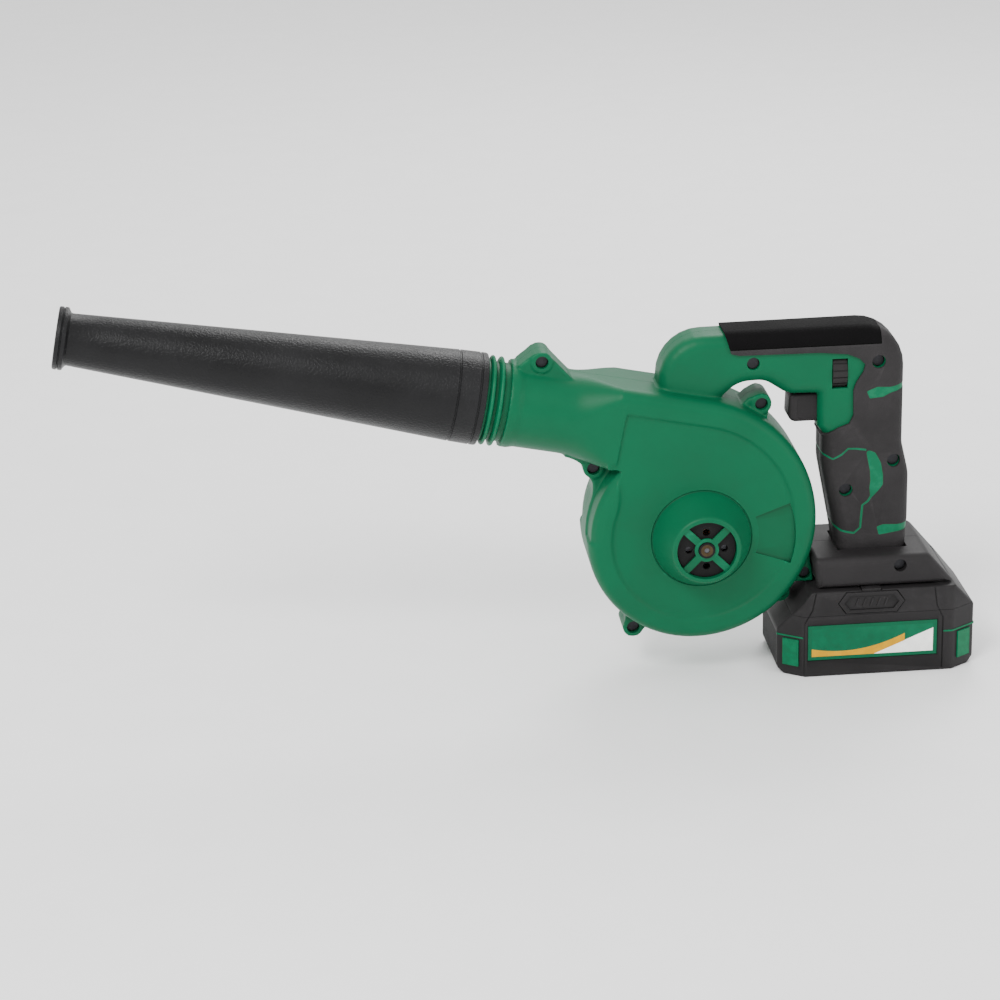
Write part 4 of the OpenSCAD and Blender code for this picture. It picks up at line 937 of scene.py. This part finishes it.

# %% [markdown]
# ## The plan of every finish
# Real plastic and metal are never one flat colour. Every finish here gets the grain of its mould or its
# metal as bump, a little cloudiness in colour and roughness, painted shade that darkens the hollows, and
# paler worn edges. The painted shade and the worn edges come from Pointiness, which tells how far the
# surface bends outwards at a point.


# %% Finishes
class Finish:
    """A material being put together from nodes."""
    def __init__(self, name, colour, roughness, metallic=0.0):
        self.material = bpy.data.materials.new(name)
        self.material.use_nodes = True
        self.tree = self.material.node_tree
        self.tree.nodes.clear()
        self.shader = self.tree.nodes.new("ShaderNodeBsdfPrincipled")
        sink = self.tree.nodes.new("ShaderNodeOutputMaterial")
        self.tree.links.new(self.shader.outputs[0], sink.inputs[0])
        self.colour, self.rough = (*colour, 1), roughness
        self.shader.inputs["Metallic"].default_value = metallic
        self.shader.inputs["Specular IOR Level"].default_value = 0.5 if metallic else 0.16
        self.place = self.node("ShaderNodeTexCoord", output="Object")
        self.edge = self.node("ShaderNodeNewGeometry", output="Pointiness")

    def node(self, kind, settings=None, values=None, output=0):
        """Adds a node: its settings come first, then the values or wires of its sockets."""
        made = self.tree.nodes.new(kind)
        for key, value in (settings or {}).items():
            setattr(made, key, value)
        for key, value in (values or {}).items():
            self.feed(made.inputs[key], value)
        return Wire(self, made.outputs[output])

    def feed(self, socket, value):
        if isinstance(value, Wire):
            self.tree.links.new(value.socket, socket)
        else:
            socket.default_value = value

    def noise(self, size, detail=3.0, rough=0.6, stretch=None):
        """Noise whose features are about size millimetres across."""
        place = self.place
        if stretch:
            place = self.node("ShaderNodeVectorMath", {"operation": "MULTIPLY"}, {0: place, 1: stretch})
        return self.node("ShaderNodeTexNoise", None, {"Vector": place, "Scale": 1 / (size * MM),
                                                      "Detail": detail, "Roughness": rough})

    def part(self, axis):
        """One coordinate of the place, in millimetres."""
        return self.node("ShaderNodeSeparateXYZ", None, {0: self.place}, axis) * (1 / MM)

    def brighter(self, colour, factor):
        return self.node("ShaderNodeHueSaturation", None, {"Value": factor, "Color": colour})

    def finish(self, height, depth, cloud=0.12, worn=None, wear=0.5, rough_swing=0.1, strength=0.6,
               colour=None):
        """Ends the finish: height is the grain, depth its height in millimetres."""
        base = colour or self.colour
        broad = self.noise(38, 4)
        dark, light = self.brighter(base, 1 - cloud), self.brighter(base, 1 + cloud)
        cloudy = broad.spread(0.35, 0.65).blend(dark, light)
        # Painted shade: where Pointiness finds a hollow, the colour is darkened to stand in for the shade
        # that falls in corners and creases.
        painted_hollow_shade = self.edge.spread(0.40, 0.49, 1.0, 0.0)
        shaded_tone = painted_hollow_shade.blend(cloudy, self.brighter(cloudy, 0.62))
        scuff = self.noise(5, 5).spread(0.42, 0.62, 0.35, 1.0)
        ridge = self.edge.spread(0.515, 0.58) * scuff * wear
        pale = (*worn, 1) if worn else self.brighter(base, 1.9)
        self.feed(self.shader.inputs["Base Color"], ridge.blend(shaded_tone, pale))
        fine = (self.noise(1.1) - 0.5) * rough_swing
        rough = self.rough + (broad - 0.5) * rough_swing * 2 + fine + ridge * 0.08
        self.feed(self.shader.inputs["Roughness"], rough)
        bump = self.node("ShaderNodeBump", None, {"Strength": strength, "Distance": depth * MM,
                                                  "Height": height})
        self.feed(self.shader.inputs["Normal"], bump)
        return self.material


print("finishes can be made")

# %% [markdown]
# ## Plastics and rubbers
# The green shell is a satin plastic with a fine even grain. The skin is soft rubber, whose cells are
# larger. The nozzle comes from a spark-eroded mould, which leaves hard little highlights all
# over, so its grain is made of steep pits.

# %% Kinds of plastic and rubber
def moulded(name, colour, roughness, grain, depth, **more):
    f = Finish(name, colour, roughness)
    return f.finish(f.noise(grain, 4, 0.7), depth, **more)


def soft_rubber(name, colour, roughness):
    f = Finish(name, colour, roughness)
    cells = f.node("ShaderNodeTexVoronoi", None, {"Vector": f.place, "Scale": 1 / (1.5 * MM)})
    return f.finish(cells * 0.7 + f.noise(0.5) * 0.5, 0.22, cloud=0.25, strength=0.8)


def speckled(name, colour, roughness):
    f = Finish(name, colour, roughness)
    pits = f.noise(1.3, 2, 0.5).spread(0.42, 0.62)
    grain = pits * 0.8 + f.noise(0.45, 3, 0.7) * 0.6
    return f.finish(grain, 0.16, cloud=0.2, strength=0.75, rough_swing=0.14)


print("three kinds")

# %% Plastics and rubbers of the blower
GREEN = (0.0, 0.089, 0.036)
finishes = {
    "green_shell": moulded("moulded_green", GREEN, 0.46, 0.8, 0.07, cloud=0.06, wear=0.35,
                           worn=(0.008, 0.2, 0.1)),
    "soft_grip": soft_rubber("skin_rubber", (0.019, 0.0176, 0.0182), 0.62),
    "hard_black": moulded("hard_black", (0.0165, 0.0152, 0.0158), 0.5, 0.6, 0.08, cloud=0.14),
    "nozzle_black": speckled("nozzle_black", (0.0085, 0.0085, 0.009), 0.34),
    "battery_black": moulded("battery_black", (0.0145, 0.0135, 0.014), 0.48, 0.6, 0.08, cloud=0.14),
    "battery_green": moulded("battery_green", (0.0, 0.085, 0.035), 0.4, 0.6, 0.05, cloud=0.08),
    "dial_dark": moulded("dial_black", (0.012, 0.011, 0.011), 0.42, 0.5, 0.05),
    "insulator": moulded("dark_insulator", (0.004, 0.004, 0.004), 0.6, 0.5, 0.05),
    "board": moulded("lacquered_board", (0.01, 0.12, 0.04), 0.3, 0.5, 0.03),
    "wire_red": moulded("red_wire", (0.35, 0.015, 0.01), 0.4, 0.4, 0.03),
    "wire_black": moulded("black_wire", (0.02, 0.02, 0.02), 0.4, 0.4, 0.03),
    "cell": moulded("cell_sleeve", (0.05, 0.16, 0.30), 0.28, 0.5, 0.02),
    "seal": soft_rubber("seal_rubber", (0.02, 0.02, 0.02), 0.5),
}
wheel_black = moulded("wheel_nylon", (0.045, 0.045, 0.046), 0.45, 0.5, 0.05)
pad_black = soft_rubber("pad_rubber", (0.0025, 0.0023, 0.0025), 0.7)
pad_black.node_tree.nodes["Principled BSDF"].inputs["Specular IOR Level"].default_value = 0.06
print(len(finishes) + 2, "plastics and rubbers")

# %% [markdown]
# ## Metals
# A metal shows the tool that made it: rolled, wound and stamped metal has fine lines one way. The same
# noise gives those lines when its space is stretched. Cast and plated pieces keep an even grain.


# %% Metals
def metal(name, colour, roughness, brushed, depth=0.02):
    f = Finish(name, colour, roughness, 1.0)
    return f.finish(f.noise(2.0, 4, 0.6, brushed), depth, cloud=0.15, wear=0.6, rough_swing=0.16)


finishes["screw_steel"] = metal("dark_zinc", (0.022, 0.022, 0.024), 0.42, (1, 1, 1))
finishes["steel"] = metal("rolled_steel", (0.52, 0.52, 0.54), 0.3, (1, 12, 1))
finishes["magnet"] = metal("sintered_magnet", (0.10, 0.10, 0.11), 0.62, (1, 1, 1), 0.05)
finishes["copper"] = metal("enamelled_copper", (0.62, 0.24, 0.09), 0.28, (1, 30, 1))
finishes["brass"] = metal("stamped_brass", (0.62, 0.44, 0.17), 0.3, (1, 6, 1))
dark_brass = metal("oiled_bronze", (0.05, 0.035, 0.02), 0.5, (1, 6, 1))
print(len(finishes) + 3, "finishes so far")

# %% [markdown]
# ## The label
# The label is a printed film: a green field, a yellow sweep that rises from the lower left, and a white
# field on the right. The green field also carries painted light and grows lighter towards the right.
# Comparisons of a point's place draw it, and stay sharp at any size. It bears no words.


# %% Label
def printed_label(left_end=-45.1, foot=11.4, width=82.2, height=23.2):
    f = Finish("printed_label", (0.01, 0.2, 0.09), 0.34)
    field, lit_field = (0.0, 0.075, 0.032, 1), (0.001, 0.095, 0.042, 1)
    u = (f.part(0) - left_end) * (1 / width)
    v = (f.part(2) - foot) * (1 / height)
    sweep_top = 0.35 - u * 0.9 + u * u * 1.75
    sweep_low = 0.08 + (u > 0.5) * (u - 0.5) * 1.45
    yellow = (v < sweep_top) * (v > sweep_low) * (u < 0.75)
    white = (u > 0.5) * (v < sweep_low + 0.012) * (1 - yellow)
    inner = (u > 0.03) * (u < 0.97) * (v > 0.1) * (v < 0.9)
    # Painted light: the green field grows lighter towards the right, a painted pool of light, and the noise
    # adds a random cloudy tone on top.
    print_and_painted_light = (f.noise(9) + u * 0.3).spread(0.4, 0.8).blend(field, lit_field)
    print_and_painted_light = yellow.blend(print_and_painted_light, (0.50, 0.25, 0.0, 1))
    print_and_painted_light = white.blend(print_and_painted_light, (0.82, 0.83, 0.8, 1))
    print_and_painted_light = inner.blend(field, print_and_painted_light)
    return f.finish(f.noise(0.8), 0.02, cloud=0.04, wear=0.2, rough_swing=0.05, colour=print_and_painted_light)


finishes["label"] = printed_label()
print("label:", len(finishes["label"].node_tree.nodes), "nodes")

# %% [markdown]
# ## Putting the pieces on their bodies
# Each new piece rides on its body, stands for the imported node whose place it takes, and gets the finish
# of its slot. The inlays and the green line stand for no node.


# %% Ride, replace and finish
def place(piece, body, slot, *nodes, angle=32, finish=None):
    shade(piece, angle)
    piece.data.materials.clear()
    piece.data.materials.append(finish or finishes[slot])
    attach(piece, body)
    if nodes:
        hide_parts(*nodes)


place(left_case, "housing", "green_shell", "left_housing", angle=40)
place(right_case, "housing", "green_shell", "right_housing", angle=40)
place(left_skin, "housing", "soft_grip", "left_grip_skin")
place(right_skin, "housing", "soft_grip", "right_grip_skin")
place(top_pad, "housing", "soft_grip", "top_pad", finish=pad_black)
place(grip_inlays, "housing", "green_shell")
place(left_foot, "housing", "hard_black", "left_foot")
place(right_foot, "housing", "hard_black", "right_foot")
place(trigger, "trigger", "hard_black", "trigger")
place(nozzle, "nozzle", "nozzle_black", "nozzle")
place(lower, "battery", "battery_black", "battery_lower_case")
place(upper, "battery", "battery_black", "battery_upper_case")
place(battery_line, "battery", "battery_green")
place(left_button, "left_button", "battery_black", "left_button")
place(right_button, "right_button", "battery_black", "right_button")

# %% [markdown]
# ## Springs
# A spring sits between two bodies and gets shorter as one of them moves. As a stiff piece it would cut
# into one of them. Here each is a stiff copy of the imported coil, carried by one body with the finish of
# rolled steel.


# %% Springs on their bodies
def spring(node, name, body):
    piece = bpy.data.objects.new(name, frame["nodes"][node].data.copy())
    bpy.context.scene.collection.objects.link(piece)
    place(piece, body, "steel", node, angle=60)
    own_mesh(piece)


spring("trigger_spring", "trigger_coil", "housing")
for side, y in (("left", -0.0273), ("right", 0.0273)):
    spring(f"{side}_button_spring", f"{side}_coil", "battery")
print("three springs")

# %% [markdown]
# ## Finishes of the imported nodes
# Screws, the motor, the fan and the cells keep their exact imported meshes. Each gets the finish of its
# slot, and four get a finish of their own.

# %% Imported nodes
slots = {row["node"]: row["material_slot"] for row in frame["record"]["subparts"]}
own_finish = {"fan_wheel": wheel_black, "motor_end_cap": finishes["insulator"], "rear_bearing": dark_brass,
              "motor_shaft": finishes["magnet"]}
for name, node in frame["nodes"].items():
    if not node.hide_render:
        node.data.materials.clear()
        node.data.materials.append(own_finish.get(name, finishes[slots[name]]))
print("kept nodes:", sum(not n.hide_render for n in frame["nodes"].values()))

# %% [markdown]
# ## Light and floor
# A pale floor and a bright even sky keep the shadows soft. A large lamp from the upper left shapes the
# case, a weaker one from the right opens the shadows of the grip, and one behind draws the top edges.

# %% Floor
floor = block("floor", (-5000, -3500, -20), (5000, 5000, 0))
ground = Finish("pale_floor", (0.95, 0.95, 0.95), 0.6)
floor.data.materials.append(ground.finish(ground.noise(30), 0.02, cloud=0.01, wear=0.0, rough_swing=0.04))
print("floor laid")

# %% Sky and lamps
world = bpy.data.worlds.new("studio")
bpy.context.scene.world = world
world.use_nodes = True
sky = world.node_tree.nodes["Background"]
sky.inputs["Color"].default_value = (1, 1, 1, 1)
sky.inputs["Strength"].default_value = 1.25


def lamp(name, at, size, power):
    light = bpy.data.lights.new(name, "AREA")
    light.size, light.energy = size, power
    holder = bpy.data.objects.new(name, light)
    holder.location = at
    towards = Vector((-0.15, 0, 0.12)) - holder.location
    holder.rotation_euler = towards.to_track_quat("-Z", "Y").to_euler()
    bpy.context.scene.collection.objects.link(holder)


lamp("key", (-1.1, -1.3, 1.7), 0.8, 40)
lamp("fill", (1.3, -1.2, 0.8), 1.2, 8)
lamp("rim", (0.3, 1.4, 1.5), 0.9, 20)
print("three lamps")
